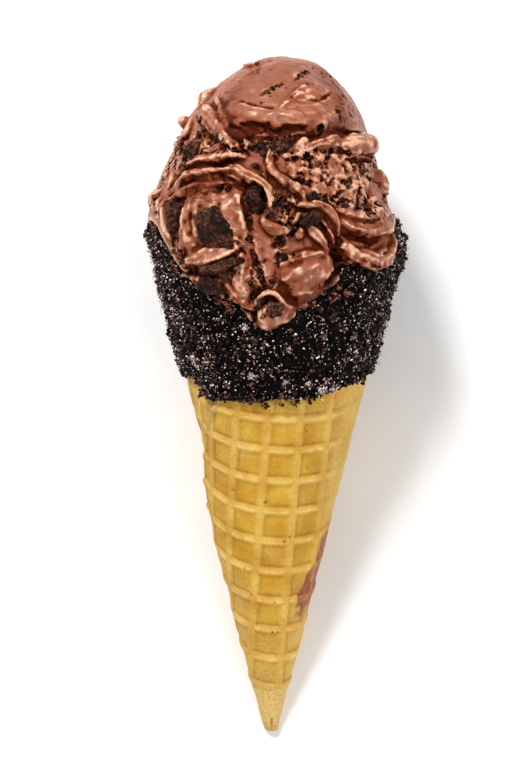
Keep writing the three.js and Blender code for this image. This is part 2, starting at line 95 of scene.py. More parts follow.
# The coating's lower edge is a slant, COAT_INSIDE is its reach down inside the mouth, and
# GAP keeps it off the wafer.
COAT_EDGE = 129.2
COAT_EDGE_WAVE = 1.2
COAT_EDGE_RISE_RIGHT = 5.8
COAT_EDGE_RISE_LEFT = 4.8
COAT_THICKNESS = 1.9
COAT_INSIDE = 16
GAP = 0.35
# The cone rests on its tip and on a spot of the coating that is worn flat to this depth.
FLAT_DEPTH = 0.7
REST_SLANT = 196

SIN_A, COS_A = np.sin(HALF_ANGLE), np.cos(HALF_ANGLE)
NOTCH = (ROLL_START - 180 * SIN_A) / SIN_A
INNER_WALL = -0.5 * LAYER_STEP - RIDGE_HEIGHT - WAFER_THICKNESS
COAT_INNER_FACE = INNER_WALL - 2 * GAP


def smoothstep(value, low, high):
    """0 up to low, 1 from high on, and a smooth rise between them."""
    part = np.clip((value - low) / (high - low), 0, 1)
    return part * part * (3 - 2 * part)


def lerp(a, b, part):
    """The value that lies a part of the way from a to b."""
    return a + (b - a) * part


def stack(*columns):
    """Numbers and arrays of coordinates joined into points."""
    return np.stack(np.broadcast_arrays(*columns), -1)


def unit(vectors):
    """The vectors, each made 1 long."""
    return vectors / np.maximum(np.linalg.norm(vectors, axis=-1, keepdims=True), 1e-9)


def polar(radius, azimuth, y):
    """The point at a radius and azimuth round the axis, at y."""
    turn = np.radians(azimuth)
    return stack(radius * np.sin(turn), y, radius * np.cos(turn))


def pressed_in(slant, azimuth):
    """How far the roll is out of round: its left wall tucked in, its mouth's sides curled in."""
    side = np.sin(np.radians(azimuth))
    tuck = TUCK_DEPTH * np.clip((slant - TUCK_FROM) / (TUCK_TO - TUCK_FROM), 0, 1)
    pinch = PINCH_DEPTH * np.clip((slant - PINCH_FROM) / (PINCH_TO - PINCH_FROM), 0, 1)**2
    return (np.where(side < 0, tuck, 0) + pinch) * side**2


def cone_point(slant, azimuth, height):
    """The point at a slant, azimuth and height on the roll, out of round as it is."""
    outwards = height - pressed_in(slant, azimuth)
    return polar(slant * SIN_A + outwards * COS_A, azimuth, slant * COS_A - outwards * SIN_A)


def wafer_edge(azimuth):
    """Slant of the round wafer's edge: the mouth, and below the notch the loose edge."""
    return WAFER_DIAMETER * np.cos(np.radians(ROLL_START - azimuth * SIN_A))


def mouth_edge(azimuth):
    """The mouth's own edge, pressed uneven while the wafer was still warm."""
    edge = wafer_edge(azimuth)
    for middle, spread, height in MOUTH_WAVES:
        away = (azimuth - middle + 180) % 360 - 180
        edge = edge + height * np.exp(-(away / spread)**2)
    return edge


def layer_rise(azimuth):
    """Height of the ridges' tops: the roll winds in by one layer over a whole turn."""
    return LAYER_STEP * (0.5 - (azimuth - NOTCH) / 360)


def recess(azimuth):
    """Height of the pattern's recesses."""
    return layer_rise(azimuth) - RIDGE_HEIGHT


# ---- Where it lies -----------------------------------------------------------------------
REST_HEIGHT = recess(180) + GAP + COAT_THICKNESS - FLAT_DEPTH
TIP_CONTACT_SLANT = 15
TIP_CONTACT_DEPTH = 0.2
TIP_CONTACT_HEIGHT = recess(180) - TIP_CONTACT_DEPTH
LIE_ANGLE = HALF_ANGLE + np.arctan2(
    REST_HEIGHT - TIP_CONTACT_HEIGHT, REST_SLANT - TIP_CONTACT_SLANT,
)
TURN_DOWN = np.array(Matrix.Rotation(LIE_ANGLE, 3, "X"))
LIE_SHIFT = -(TURN_DOWN @ cone_point(REST_SLANT, 180, REST_HEIGHT))


def lie_down(points):
    """Points of the cone's own frame in the part's frame, in metres."""
    return (np.asarray(points) @ TURN_DOWN.T + LIE_SHIFT) * MM


def pressed_flat(points):
    """Points in the part's frame, pressed up to the ground where they would lie below it."""
    return np.stack([points[:, 0], points[:, 1], np.maximum(points[:, 2], 0)], -1)


# ---- Random roughness --------------------------------------------------------------------
NOISE_CELLS = 32


def noise(points, size, seed):
    """Smooth random values from -1 to 1 that change over about size mm, along each axis."""
    table = np.random.default_rng(seed).uniform(-1, 1, (NOISE_CELLS,) * 3).astype(np.float32)
    scaled = points / np.asarray(size, np.float32)
    cell = np.floor(scaled).astype(np.int32)
    part = (scaled - cell).astype(np.float32)
    part = part * part * (3 - 2 * part)
    value = np.zeros(points.shape[:-1], np.float32)
    for corner in itertools.product((0, 1), repeat=3):
        weight = np.ones_like(value)
        for axis, far in enumerate(corner):
            weight *= part[..., axis] if far else 1 - part[..., axis]
        spot = (cell + corner) % NOISE_CELLS
        value += weight * table[spot[..., 0], spot[..., 1], spot[..., 2]]
    return value


def uneven(points, layers, level=0):
    """A level with several (height, size, seed) layers of noise on it."""
    return sum((height * noise(points, size, seed) for height, size, seed in layers), level)


def crumble(points, size, seed, octaves=3):
    """Several sizes of noise with sharp crests, as in torn or broken food, from 0 to 1."""
    total, most = 0, 0
    for octave in range(octaves):
        share = 0.5**octave
        rounded = np.abs(noise(points, np.multiply(size, share), seed + octave))
        total = total + share * (1 - 2 * rounded)
        most += share
    return 0.5 + 0.5 * total / most


# ---- Meshes ------------------------------------------------------------------------------
def make_piece(name, points, faces, material, node_slot, smooth=True, replaces=(), **attributes):
    """A mesh object that rides with the part. Its points are in the cone's frame, its faces
    all have the same number of corners, and each attribute is a number for every point."""
    mesh = bpy.data.meshes.new(name)
    corners = faces.shape[1]
    mesh.vertices.add(len(points))
    mesh.vertices.foreach_set("co", pressed_flat(lie_down(points)).astype(np.float32).ravel())
    mesh.loops.add(faces.size)
    mesh.loops.foreach_set("vertex_index", faces.astype(np.int32).ravel())
    mesh.polygons.add(len(faces))
    mesh.polygons.foreach_set("loop_start", np.arange(0, faces.size, corners, dtype=np.int32))
    mesh.update(calc_edges=True)
    mesh.validate()
    mesh.polygons.foreach_set("use_smooth", np.full(len(mesh.polygons), smooth))
    for attribute, values in attributes.items():
        layer = mesh.attributes.new(attribute, "FLOAT", "POINT")
        layer.data.foreach_set("value", np.asarray(values, np.float32))
    mesh.materials.append(material)
    piece = bpy.data.objects.new(name, mesh)
    bpy.context.collection.objects.link(piece)
    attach(piece, "root")
    if replaces:
        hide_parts(*replaces)
    return piece


def grid_faces(rows, columns, closed_rows=False):
    """Quads of a grid whose columns close into a ring, and its rows too if asked."""
    strips = rows if closed_rows else rows - 1
    row, column = np.meshgrid(np.arange(strips), np.arange(columns), indexing="ij")
    next_row, next_column = (row + 1) % rows, (column + 1) % columns
    quad = [
        row * columns + column, row * columns + next_column,
        next_row * columns + next_column, next_row * columns + column,
    ]
    return np.stack(quad, -1).reshape(-1, 4)


def face_frames(points, faces):
    """Middle, unit normal and area of every face."""
    a, b, c = points[faces[:, 0]], points[faces[:, 1]], points[faces[:, 2]]
    normal = np.cross(b - a, c - a)
    area = np.linalg.norm(normal, axis=1)
    return points[faces].mean(1), normal / np.maximum(area, 1e-9)[:, None], area


# ---- Finishes ----------------------------------------------------------------------------
def srgb(code):
    """A hex colour as the linear red, green, blue and alpha that Blender works in."""
    value = np.array([int(code[i:i + 2], 16) for i in (1, 3, 5)]) / 255
    linear = np.where(value <= 0.04045, value / 12.92, ((value + 0.055) / 1.055) ** 2.4)
    return (*linear, 1)


def per_mm(size):
    """The scale of a pattern on coordinates in metres whose features are size mm apart."""
    return 1 / (size * MM)


def connect(tree, node, inputs):
    """Gives each named or numbered socket a value, a socket or a node's first output."""
    for name, value in inputs.items():
        if isinstance(value, bpy.types.Node):
            value = value.outputs[0]
        if isinstance(value, bpy.types.NodeSocket):
            tree.links.new(value, node.inputs[name])
        else:
            node.inputs[name].default_value = value


def add(tree, kind, inputs=None, stops=(), **settings):
    """Adds a node with its settings and links. stops are a ramp's (place, hex colour) pairs."""
    node = tree.nodes.new(kind)
    for name, value in settings.items():
        setattr(node, name, value)
    connect(tree, node, inputs or {})
    for i, (place, code) in enumerate(stops):
        elements = node.color_ramp.elements
        element = elements[i] if i < len(elements) else elements.new(1)
        element.position = place
        element.color = srgb(code)
    return node


def start_material(name):
    """A new material, its node tree, its surface shader and the object's own coordinates."""
    material = bpy.data.materials.new(name)
    material.use_nodes = True
    tree = material.node_tree
    place = add(tree, "ShaderNodeTexCoord").outputs["Object"]
    return material, tree, tree.nodes["Principled BSDF"], place


def baked_wafer():
    """Wheat wafer baked between hot irons: matte and golden, deeper in the recesses, toasted
    brown along the pressed grooves with painted shade there, floury and pale at its tip, with
    a painted highlight along its crests. Melted ice cream has dried on it as a red-brown,
    slightly glossier smear."""
    material, tree, shader, place = start_material("wheat_wafer_iron_baked")
    patches = add(tree, "ShaderNodeTexNoise", {"Vector": place, "Scale": per_mm(9), "Detail": 3})
    specks = add(tree, "ShaderNodeTexNoise", {
        "Vector": place, "Scale": per_mm(0.8), "Detail": 2, "Roughness": 0.7,
    })
    crest_highlights, pale, toast_and_shade, smear = [
        add(tree, "ShaderNodeAttribute", attribute_name=name).outputs["Fac"]
        for name in ("crest", "pale", "toast_and_shade", "smear")
    ]
    colour = add(tree, "ShaderNodeValToRGB", {"Fac": patches}, stops=[
        (0.3, "#B88318"), (0.5, "#C9992A"), (0.7, "#D6AA40"),
    ])
    # Painted highlight on the crests, flour, grooves toasted and darkened with painted shade,
    # fine specks and the smear, each over the last.
    for share, pattern, blend, stops in (
        (crest_highlights, patches, "MIX", [(0.3, "#EABE60"), (0.7, "#F8DA8E")]),
        (pale, specks, "MIX", [(0.3, "#CCA856"), (0.7, "#DEC07A")]),
        (toast_and_shade, patches, "MIX", [(0.3, "#865614"), (0.7, "#9E6E20")]),
        (0.45, specks, "MULTIPLY", [(0.3, "#CDBFAC"), (0.5, "#FFFFFF")]),
        (smear, specks, "MIX", [(0.35, "#6E2A12"), (0.62, "#A85A32")]),
    ):
        layer = add(tree, "ShaderNodeValToRGB", {"Fac": pattern}, stops=stops)
        colour = add(tree, "ShaderNodeMix", {
            0: share, 6: colour, 7: layer,
        }, data_type="RGBA", blend_type=blend).outputs[2]
    roughness = add(tree, "ShaderNodeMapRange", {"Value": smear, "To Min": 0.62, "To Max": 0.4})
    crumb = add(tree, "ShaderNodeTexNoise", {
        "Vector": place, "Scale": per_mm(0.7), "Detail": 3, "Roughness": 0.6,
    })
    bump = add(tree, "ShaderNodeBump", {"Height": crumb, "Distance": 0.16 * MM})
    connect(tree, shader, {
        "Base Color": colour, "Roughness": roughness, "IOR": 1.45, "Normal": bump,
        "Specular IOR Level": 0.3, "Subsurface Weight": 0.12, "Subsurface Scale": 1.0,
        "Subsurface Radius": (0.002, 0.001, 0.0004),
    })
    return material


def crushed_cookie(name, dark, mid, light, depth, shine):
    """Dry cocoa cookie, crushed or broken: nearly black, so porous that it hardly shines,
    each grain baked to its own brown, with a coarse crumb of lighter points depth mm high."""
    material, tree, shader, place = start_material(name)
    crumb = add(tree, "ShaderNodeTexNoise", {
        "Vector": place, "Scale": per_mm(1.1), "Detail": 3, "Roughness": 0.7,
    })
    fine = add(tree, "ShaderNodeTexNoise", {"Vector": place, "Scale": per_mm(0.4), "Detail": 2})
    grain = add(tree, "ShaderNodeAttribute", attribute_name="baked").outputs["Fac"]
    shade = add(tree, "ShaderNodeMath", {0: grain, 1: crumb}, operation="ADD")
    colour = add(tree, "ShaderNodeValToRGB", {"Fac": shade}, stops=[
        (0.4, dark), (0.62, mid), (1.0, light),
    ])
    dust = add(tree, "ShaderNodeValToRGB", {"Fac": fine}, stops=[
        (0.4, "#3A3230"), (0.56, "#FFFFFF"),
    ])
    colour = add(tree, "ShaderNodeMix", {
        0: 0.8, 6: colour, 7: dust,
    }, data_type="RGBA", blend_type="MULTIPLY")
    height = add(tree, "ShaderNodeMath", {0: crumb, 1: fine}, operation="ADD")
    bump = add(tree, "ShaderNodeBump", {"Height": height, "Distance": depth * MM})
    connect(tree, shader, {
        "Base Color": colour.outputs[2], "Roughness": 0.55, "Specular IOR Level": shine,
        "Normal": bump,
    })
    return material


def churned_ice_cream():
    """Churned cocoa ice cream, scooped and partly torn: waxy and faintly translucent, with a
    painted highlight on open crests and painted shade, deep red-brown, in its folds, airy where
    torn, glossy where it has melted."""
    material, tree, shader, place = start_material("cocoa_ice_cream_scooped")
    patches = add(tree, "ShaderNodeTexNoise", {"Vector": place, "Scale": per_mm(5), "Detail": 3})
    airy = add(tree, "ShaderNodeTexNoise", {
        "Vector": place, "Scale": per_mm(1.5), "Detail": 3, "Roughness": 0.65,
    })
    fine = add(tree, "ShaderNodeTexNoise", {
        "Vector": place, "Scale": per_mm(0.5), "Detail": 3, "Roughness": 0.6,
    })
    light, rough, wet = [
        add(tree, "ShaderNodeAttribute", attribute_name=name).outputs["Fac"]
        for name in ("open", "rough", "wet")
    ]
    drift = add(tree, "ShaderNodeMath", {0: patches, 1: 0.28, 2: -0.14}, operation="MULTIPLY_ADD")
    shade = add(tree, "ShaderNodeMath", {0: light, 1: drift}, operation="ADD")
    pores = add(tree, "ShaderNodeMapRange", {
        "Value": airy, "From Min": 0.36, "From Max": 0.5, "To Min": -0.5, "To Max": 0,
    })
    shade = add(tree, "ShaderNodeMath", {0: pores, 1: rough, 2: shade}, operation="MULTIPLY_ADD")
    # The ramp paints shade from the open attribute into folds, pits and creases and a highlight
    # onto crests.
    colour = add(tree, "ShaderNodeValToRGB", {"Fac": shade}, stops=[
        (0.0, "#130401"), (0.16, "#521D0B"), (0.36, "#8A482C"), (0.6, "#97553A"),
        (0.8, "#B67553"), (1.0, "#E2AD8B"),
    ])
    mottle = add(tree, "ShaderNodeValToRGB", {"Fac": fine}, stops=[
        (0.34, "#AD9489"), (0.52, "#FFFFFF"),
    ])
    colour = add(tree, "ShaderNodeMix", {
        0: 0.5, 6: colour, 7: mottle,
    }, data_type="RGBA", blend_type="MULTIPLY")
    roughness = add(tree, "ShaderNodeMapRange", {"Value": wet, "To Min": 0.46, "To Max": 0.15})
    shine = add(tree, "ShaderNodeMapRange", {
        "Value": shade, "From Min": 0.25, "From Max": 0.8, "To Min": 0.05, "To Max": 0.9,
    })
    crumbly = add(tree, "ShaderNodeMath", {0: airy, 1: rough}, operation="MULTIPLY")
    height = add(tree, "ShaderNodeMath", {0: fine, 1: 0.22, 2: crumbly}, operation="MULTIPLY_ADD")
    bump = add(tree, "ShaderNodeBump", {"Height": height, "Distance": 0.7 * MM})
    connect(tree, shader, {
        "Base Color": colour.outputs[2], "Roughness": roughness, "IOR": 1.4, "Normal": bump,
        "Specular IOR Level": shine, "Subsurface Weight": 0.15, "Subsurface Scale": 1.0,
        "Subsurface Radius": (0.0016, 0.0007, 0.0004),
    })
    return material


def pale_fleck():
    """Broken sugar crystals and flecks of filling, with painted glints on crumb edges: pale,
    pinkish and slightly shiny.
    """
    material, tree, shader, place = start_material("sugar_fleck_and_glint")
    shade = add(tree, "ShaderNodeTexNoise", {"Vector": place, "Scale": per_mm(1.1)})
    colour = add(tree, "ShaderNodeValToRGB", {"Fac": shade}, stops=[
        (0.38, "#6A4C44"), (0.48, "#B8988C"), (0.6, "#F8E8E0"),
    ])
    connect(tree, shader, {"Base Color": colour, "Roughness": 0.35, "IOR": 1.5})
    return material


def matte_paper():
    """A pale paper sweep under the food."""
    material, tree, shader, place = start_material("paper_matte")
    shade = add(tree, "ShaderNodeTexNoise", {"Vector": place, "Scale": per_mm(40)})
    colour = add(tree, "ShaderNodeValToRGB", {"Fac": shade}, stops=[
        (0.4, "#F5F4F3"), (0.6, "#F8F7F6"),
    ])
    connect(tree, shader, {"Base Color": colour, "Roughness": 0.9})
    return material


WAFER = baked_wafer()
COATING = crushed_cookie(
    "cocoa_cookie_crushed", "#020101", "#080403", "#805E52", depth=0.3, shine=0.06,
)
COOKIE = crushed_cookie(
    "cocoa_cookie_broken", "#0B0302", "#34160C", "#A86A50", depth=0.5, shine=0.12,
)
ICE_CREAM = churned_ice_cream()
FLECK = pale_fleck()


# ---- The rolled wafer --------------------------------------------------------------------
def ridge(past):
    """Height of a ridge, from 0 to 1, by the distance past its middle: steep on that side
    and gentle on the other."""
    steep = 1 - smoothstep(past, RIDGE_TOP / 2, RIDGE_FOOT / 2)
    gentle = smoothstep(past, -RIDGE_FOOT, -RIDGE_TOP / 2)
    return np.where(past > 0, steep, gentle)


def groove(past):
    """Depth of the groove along a ridge's steep foot, from 0 to 1."""
    return np.exp(-((past - 0.62 * RIDGE_FOOT) / 0.5)**2)


def past_line(place, first):
    """Signed distance from the nearest of the evenly spaced grid lines to a place."""
    return (place - first + GRID_PITCH / 2) % GRID_PITCH - GRID_PITCH / 2


def waffle_relief(slant, azimuth):
    """Height of the iron's square pattern, how deep the pressed grooves are there, which also
    sets their toasting and painted shade, and how strong the painted highlight on the crests
    is, each from 0 to 1."""
    turn = np.radians(azimuth * SIN_A - GRID_TURN)
    past_row = past_line(slant * np.cos(turn), GRID_ROW)
    past_column = past_line(slant * np.sin(turn), GRID_COLUMN)
    rows, columns = ridge(past_row), 0.7 * ridge(past_column)
    # Painted shade that fades into the cell from the groove on each row's steep side.
    darkened = 0.35 * np.exp(-np.maximum(past_row - 1, 0) / 2.2) * (past_row > 0)
    grooves = np.maximum(groove(past_row), darkened) * (1 - columns)
    grooves = np.maximum(grooves, 0.5 * groove(past_column) * (1 - rows))
    # A painted highlight along each row's top, broken where the columns cross, fainter along the
    # columns.
    crest_highlights = np.exp(-(past_row / 0.85)**2) * (1 - columns)
    crest_highlights = np.maximum(crest_highlights, 0.35 * ridge(past_column))
    return np.stack([np.maximum(rows * (1 - 0.3 * columns), columns), grooves, crest_highlights])


WAFER_COLUMNS = 480
SKIN_STEP = 0.45
SKIN_END = COAT_EDGE + 9
# The loose edge steps down over EDGE_STEP mm and runs under the roll at LOOSE_EDGE_END.
EDGE_STEP = 0.7
LOOSE_EDGE_END = -168
RIM_ROUND = 0.6
GROOVE_DEPTH = 0.24
RIDGE_CHIPS = 0.1
SMEAR_THICKNESS = 0.25
PIT_DEPTH = 0.5
# Rows that close on the axis keep this radius, so that no face there is a mere line.
AXIS_RADIUS = 0.02
# Air pits baked into the wafer: slant, azimuth and radius.
AIR_PITS = [
    (97, -32, 0.6), (93.5, -5, 0.9), (79.5, 13, 1.0), (81, 18, 0.7), (69.5, -31, 0.5),
    (60, -27, 0.5), (57, -32, 0.4), (57.5, 4, 0.5), (46.5, 2, 0.6), (46.4, 10, 0.6),
    (13.6, 2, 0.5), (49, -24, 0.5), (111, 32, 0.4), (118, 24, 0.4), (105, 28, 0.5),
]


def loose_layer(slant, turn):
    """How far the loose outer layer covers each spot, from 0 to 1, the spot's distance past
    that layer's ragged edge, and whether the layer comes round to there at all."""
    edge = wafer_edge(turn - 360) + 0.25 * noise(stack(turn, 0, 0), 6, 31)
    past_edge = slant - edge
    there = turn - 360 > LOOSE_EDGE_END
    share = 1 - smoothstep(past_edge, -EDGE_STEP / 2, EDGE_STEP / 2)
    return np.where(there, share, 0), past_edge, there


def air_pits(slant, azimuth):
    """How deep each spot lies in an air pit, from 0 to 1."""
    depth = np.zeros_like(slant)
    for pit_slant, pit_azimuth, radius in AIR_PITS:
        across = np.radians(azimuth - pit_azimuth) * pit_slant * SIN_A
        away = np.hypot(slant - pit_slant, across)
        depth = np.maximum(depth, 1 - smoothstep(away, 0.3 * radius, radius))
    return depth


def melted_smear(slant, azimuth, spots, relief):
    """How thickly melted ice cream clings to each spot, from 0 to 1: a ragged run on the
    right that is thinner on the ridges."""
    start = lerp(38, 66, smoothstep(slant, 58, 84))
    ragged = noise(spots, (3, 9, 3), 47) + 0.6 * noise(spots, 2.2, 52)
    smear = smoothstep(azimuth + 9 * ragged, start, start + 7)
    smear *= smoothstep(slant + 4 * ragged, 48, 54)
    smear *= 1 - smoothstep(slant + 3 * ragged, 78, 85)
    smear *= 1 - smoothstep(azimuth + 12 * ragged, 98, 112)
    return smear * (1 - 0.45 * relief * np.clip(noise(spots, 3, 49) + 0.6, 0, 1))


def wafer_tip(azimuth):
    """Rows of the blunt pressed tip, from the axis out to the patterned skin."""
    rows = [polar(np.full(len(azimuth), AXIS_RADIUS), azimuth, TIP_Y)]
    for part in (0.3, 0.55, 0.8):
        radius = np.full(len(azimuth), part * TIP_RADIUS)
        rows.append(polar(radius, azimuth, TIP_Y + 1.1 * part**3))
    return rows


def wafer_under_coat(azimuth, rim):
    """Rows from the end of the patterned skin on, under the coating, over the rim and down
    the smooth inside to the bottom of the cavity."""
    rows = []
    for part in np.linspace(0.05, 0.98, 24):
        along = lerp(SKIN_END, rim - RIM_ROUND, part)
        rows.append(cone_point(along, azimuth, recess(azimuth)))
    rows.append(cone_point(rim, azimuth, (recess(azimuth) + INNER_WALL) / 2))
    for part in np.linspace(0, 1, 14):
        along = lerp(rim - RIM_ROUND, CAVITY_START, part)
        rows.append(cone_point(along, azimuth, INNER_WALL))
    bottom = CAVITY_START * COS_A - 2
    return [*rows, polar(np.full(len(azimuth), AXIS_RADIUS), azimuth, bottom)]


def waffle_cone():
    """The roll's whole skin: from the blunt tip up the patterned outside, over the rim and
    down the smooth inside. The loose outer edge steps down onto the layer below it."""
    turn = NOTCH + np.arange(WAFER_COLUMNS) * 360 / WAFER_COLUMNS
    tip_rows = wafer_tip(turn)
    hidden_rows = wafer_under_coat(turn, mouth_edge(turn))
    slant, turn = np.meshgrid(np.arange(TIP_SLANT, SKIN_END, SKIN_STEP), turn, indexing="ij")
    over = turn - 360
    azimuth = (turn + 180) % 360 - 180
    spots = cone_point(slant, turn, 0)

    on_loose, past_edge, there = loose_layer(slant, turn)
    below, above = waffle_relief(slant, turn), waffle_relief(slant, over)
    relief, grooves, crest_highlights = lerp(below, above, on_loose)
    bead = np.where(there, np.exp(-((past_edge + 1.1) / 0.9)**2), 0)
    worn = smoothstep(azimuth, 38, 62) * (1 - smoothstep(azimuth, 84, 105))
    worn = worn * smoothstep(slant, 62, 90)
    tip = 1 - smoothstep(slant, 22, 29)
    strength = (1 - 0.8 * worn) * (1 - tip) * (0.85 + 0.15 * noise(spots, 9, 41))
    pits = air_pits(slant, azimuth)
    smear = melted_smear(slant, azimuth, spots, relief)

    height = lerp(recess(turn), recess(over), on_loose) + RIDGE_HEIGHT * relief * strength
    near_coat = np.exp(-((slant - 123) / 5)**2)
    height += (0.6 + 0.9 * near_coat) * bead - GROOVE_DEPTH * grooves * strength
    height += uneven(spots, [(0.22, 14, 42), (0.09, 4, 43), (0.05, 1.3, 44)])
    height -= RIDGE_CHIPS * (relief > 0.3) * np.maximum(0, noise(spots, 2, 45))
    height += SMEAR_THICKNESS * smear - PIT_DEPTH * pits

    # Grooves are toasted brown and darker with painted shade; air pits are darker too.
    darkened = 0.95 * grooves * strength * (0.7 + 0.3 * noise(spots, 5, 50))
    # A painted shadow just past the loose edge's bead.
    edge_shadow = np.exp(-np.abs(past_edge - 0.9) / 0.7) * there * (past_edge > 0)
    floury = 0.4 * smoothstep(-slant, -75, -40) * (1 - relief) + 0.3 * noise(spots, 12, 46)
    values = {
        "crest": crest_highlights * strength * (0.8 + 0.4 * noise(spots, 2.5, 51)),
        "toast_and_shade": np.maximum.reduce([0.8 * pits, darkened, 0.7 * edge_shadow]),
        # The bead's paleness is partly the edge's own colour and partly a painted highlight.
        "pale": np.clip(0.9 * tip + 0.4 * worn + 0.9 * bead + floury, 0, 1),
        "smear": smear,
    }

    outside = cone_point(slant, turn, height)
    points = np.concatenate([*tip_rows, *outside, *hidden_rows])
    first, last = len(tip_rows), len(tip_rows) + len(outside)
    patterned = slice(first * WAFER_COLUMNS, last * WAFER_COLUMNS)
    attributes = {name: np.zeros(len(points)) for name in values}
    attributes["pale"][:patterned.start] = 0.9
    for name, value in values.items():
        attributes[name][patterned] = value.ravel()
    faces = grid_faces(len(points) // WAFER_COLUMNS, WAFER_COLUMNS)[:, ::-1]
    make_piece(
        "waffle_shell", points, faces, WAFER, "waffle", replaces=["waffle_cone"], **attributes,
    )


waffle_cone()


# ---- The crumb coating -------------------------------------------------------------------
def coat_edge(azimuth):
    """Slant of the coating's wavy lower edge, which stands higher at both sides."""
    turn = np.radians(azimuth)
    wave = COAT_EDGE_WAVE * (0.6 * np.sin(5 * turn + 1) + 0.4 * np.sin(11 * turn))
    right = COAT_EDGE_RISE_RIGHT * smoothstep(np.sin(turn), 0.2, 1)
    left = COAT_EDGE_RISE_LEFT * smoothstep(-np.sin(turn), 0.5, 1)
    return COAT_EDGE + wave + right + left


def coat_floor(slant, azimuth):
    """Height of the coating's inner face, which eases over the loose edge's step."""
    past_step = slant - wafer_edge(azimuth - 360)
    bridged = np.where(azimuth > 180, LAYER_STEP * (1 - smoothstep(past_step, 4, 12)), 0)
    return recess(azimuth) + bridged + GAP


def coat_swell(slant, azimuth):
    """How the coating is thicker in some places and thinner in others."""
    turn = np.radians(azimuth)
    return 0.3 * np.sin(7 * turn + slant / 6) + 0.25 * np.sin(13 * turn - slant / 4)


def coat_outline(azimuth):
    """The coating's closed outline as (slant, height): up its outside, over the rim, down
    its inside and back along the wafer."""
    rim, edge, thickness = mouth_edge(azimuth), coat_edge(azimuth), COAT_THICKNESS
    outside = [lerp(edge, rim, part) for part in (0.06, 0.2, 0.36, 0.52, 0.68, 0.84, 0.95)]
    top = coat_floor(rim, azimuth)
    inside = COAT_INNER_FACE - 0.75 * thickness
    pairs = [(edge - 0.4, coat_floor(edge, azimuth) + 0.4 * thickness)]
    pairs += [(s, coat_floor(s, azimuth) + thickness + coat_swell(s, azimuth)) for s in outside]
    pairs += [
        (rim + 0.7 * thickness, top + 0.6 * thickness),
        (rim + GAP + thickness, (top + COAT_INNER_FACE) / 2),
        (rim + 0.4 * thickness, inside),
        (rim - 0.6 * COAT_INSIDE, inside),
        (rim - COAT_INSIDE, COAT_INNER_FACE - 0.3 * thickness),
        (rim - COAT_INSIDE, COAT_INNER_FACE),
        (rim + GAP, COAT_INNER_FACE),
        (rim + GAP, top),
    ]
    pairs += [(s, coat_floor(s, azimuth) + 0.3) for s in (lerp(edge, rim, 0.5), edge)]
    return np.stack([stack(s + 0 * azimuth, h + 0 * azimuth) for s, h in pairs])


COAT_COLUMNS = 620
# Rows along each side of the coating's outline. The first OPEN_SIDES of them can be seen.
COAT_ROWS = [3, 14, 16, 16, 16, 16, 14, 8, 6, 5, 5, 12, 5, 2, 10, 3, 10, 10]
OPEN_SIDES = 12


def coat_shell():
    """The coating as a rough crust: its points, its faces and whether each point is seen."""
    azimuth = NOTCH + np.arange(COAT_COLUMNS) * 360 / COAT_COLUMNS
    outline = coat_outline(azimuth)
    rows = []
    for start, end, count in zip(outline, np.roll(outline, -1, 0), COAT_ROWS):
        rows += [lerp(start, end, part) for part in np.arange(count) / count]
    rows = np.array(rows)
    for _ in range(4):
        rows = 0.5 * rows + 0.25 * (np.roll(rows, 1, 0) + np.roll(rows, -1, 0))
    points = cone_point(rows[..., 0], azimuth, rows[..., 1])
    ring = np.roll(points, -1, 1) - np.roll(points, 1, 1)
    up = np.roll(points, -1, 0) - np.roll(points, 1, 0)
    seen = np.arange(len(rows)) < sum(COAT_ROWS[:OPEN_SIDES])
    lumps = uneven(points, [(0.9, 5, 61), (0.75, 2.4, 62), (0.4, 1.1, 63)], -0.75)
    points = points + unit(np.cross(ring, up)) * (lumps * seen[:, None])[..., None]
    faces = grid_faces(len(rows), COAT_COLUMNS, closed_rows=True)
    return points.reshape(-1, 3), faces, np.repeat(seen, COAT_COLUMNS)


def ball_shape(rings):
    """Corner points and faces of a small round grain."""
    shape = bmesh.new()
    bmesh.ops.create_icosphere(shape, subdivisions=rings, radius=1)
    shape.verts.ensure_lookup_table()
    points = np.array([v.co[:] for v in shape.verts])
    faces = np.array([[v.index for v in face.verts] for face in shape.faces])
    shape.free()
    return points, faces


def scattered(name, spots, normals, sizes, sunk, material, node_slot, seed, rings=1,
              stretch=0.45, light=(0.5, 0.5)):
    """One mesh of many broken grains, each turned and squashed its own way and sunk by a
    share of its size into the surface under it. Grains of ice cream lie as open to the light
    as the two numbers of light say, from the darkest to the palest."""
    random = np.random.default_rng(seed)
    shape, faces = ball_shape(rings)
    count = len(spots)
    turn = random.normal(size=(count, 3, 3))
    turn, _ = np.linalg.qr(turn)
    squash = random.uniform(1 - stretch, 1, (count, 1, 3))
    bumps = random.uniform(0.65, 1.2, (count, len(shape), 1))
    baked = 0.65 * random.random(count)**2 * np.clip(1.5 / sizes, 0, 1)
    bodies = (shape[None] * bumps * squash) @ turn * (sizes[:, None, None] / 2)
    bodies += (spots + normals * (sizes * (0.5 - sunk))[:, None])[:, None]
    shade = random.uniform(*light, count)
    mirrored = np.linalg.det(turn) < 0
    indices = faces[None] + (np.arange(count) * len(shape))[:, None, None]
    indices[mirrored] = indices[mirrored][..., ::-1]
    return make_piece(
        name, bodies.reshape(-1, 3), indices.reshape(-1, 3), material, node_slot, smooth=False,
        baked=np.repeat(baked, len(shape)), open=np.repeat(shade, len(shape)),
    )


def pick_spots(points, faces, count, seed, weight=1.0):
    """Random places on a mesh and the normals there, by area times each face's weight."""
    _, normal, area = face_frames(points, faces)
    random = np.random.default_rng(seed)
    share = area * weight
    chosen = random.choice(len(faces), count, p=share / share.sum())
    corners = points[faces[chosen]]
    mix = random.dirichlet(np.ones(faces.shape[1]), count)
    return (corners * mix[..., None]).sum(1), normal[chosen]


EDGE_CRUMBS = 420
FLECKS = 9500
CRUMBS_PER_LUMP = 11
FLECKS_PER_CLUMP = 46
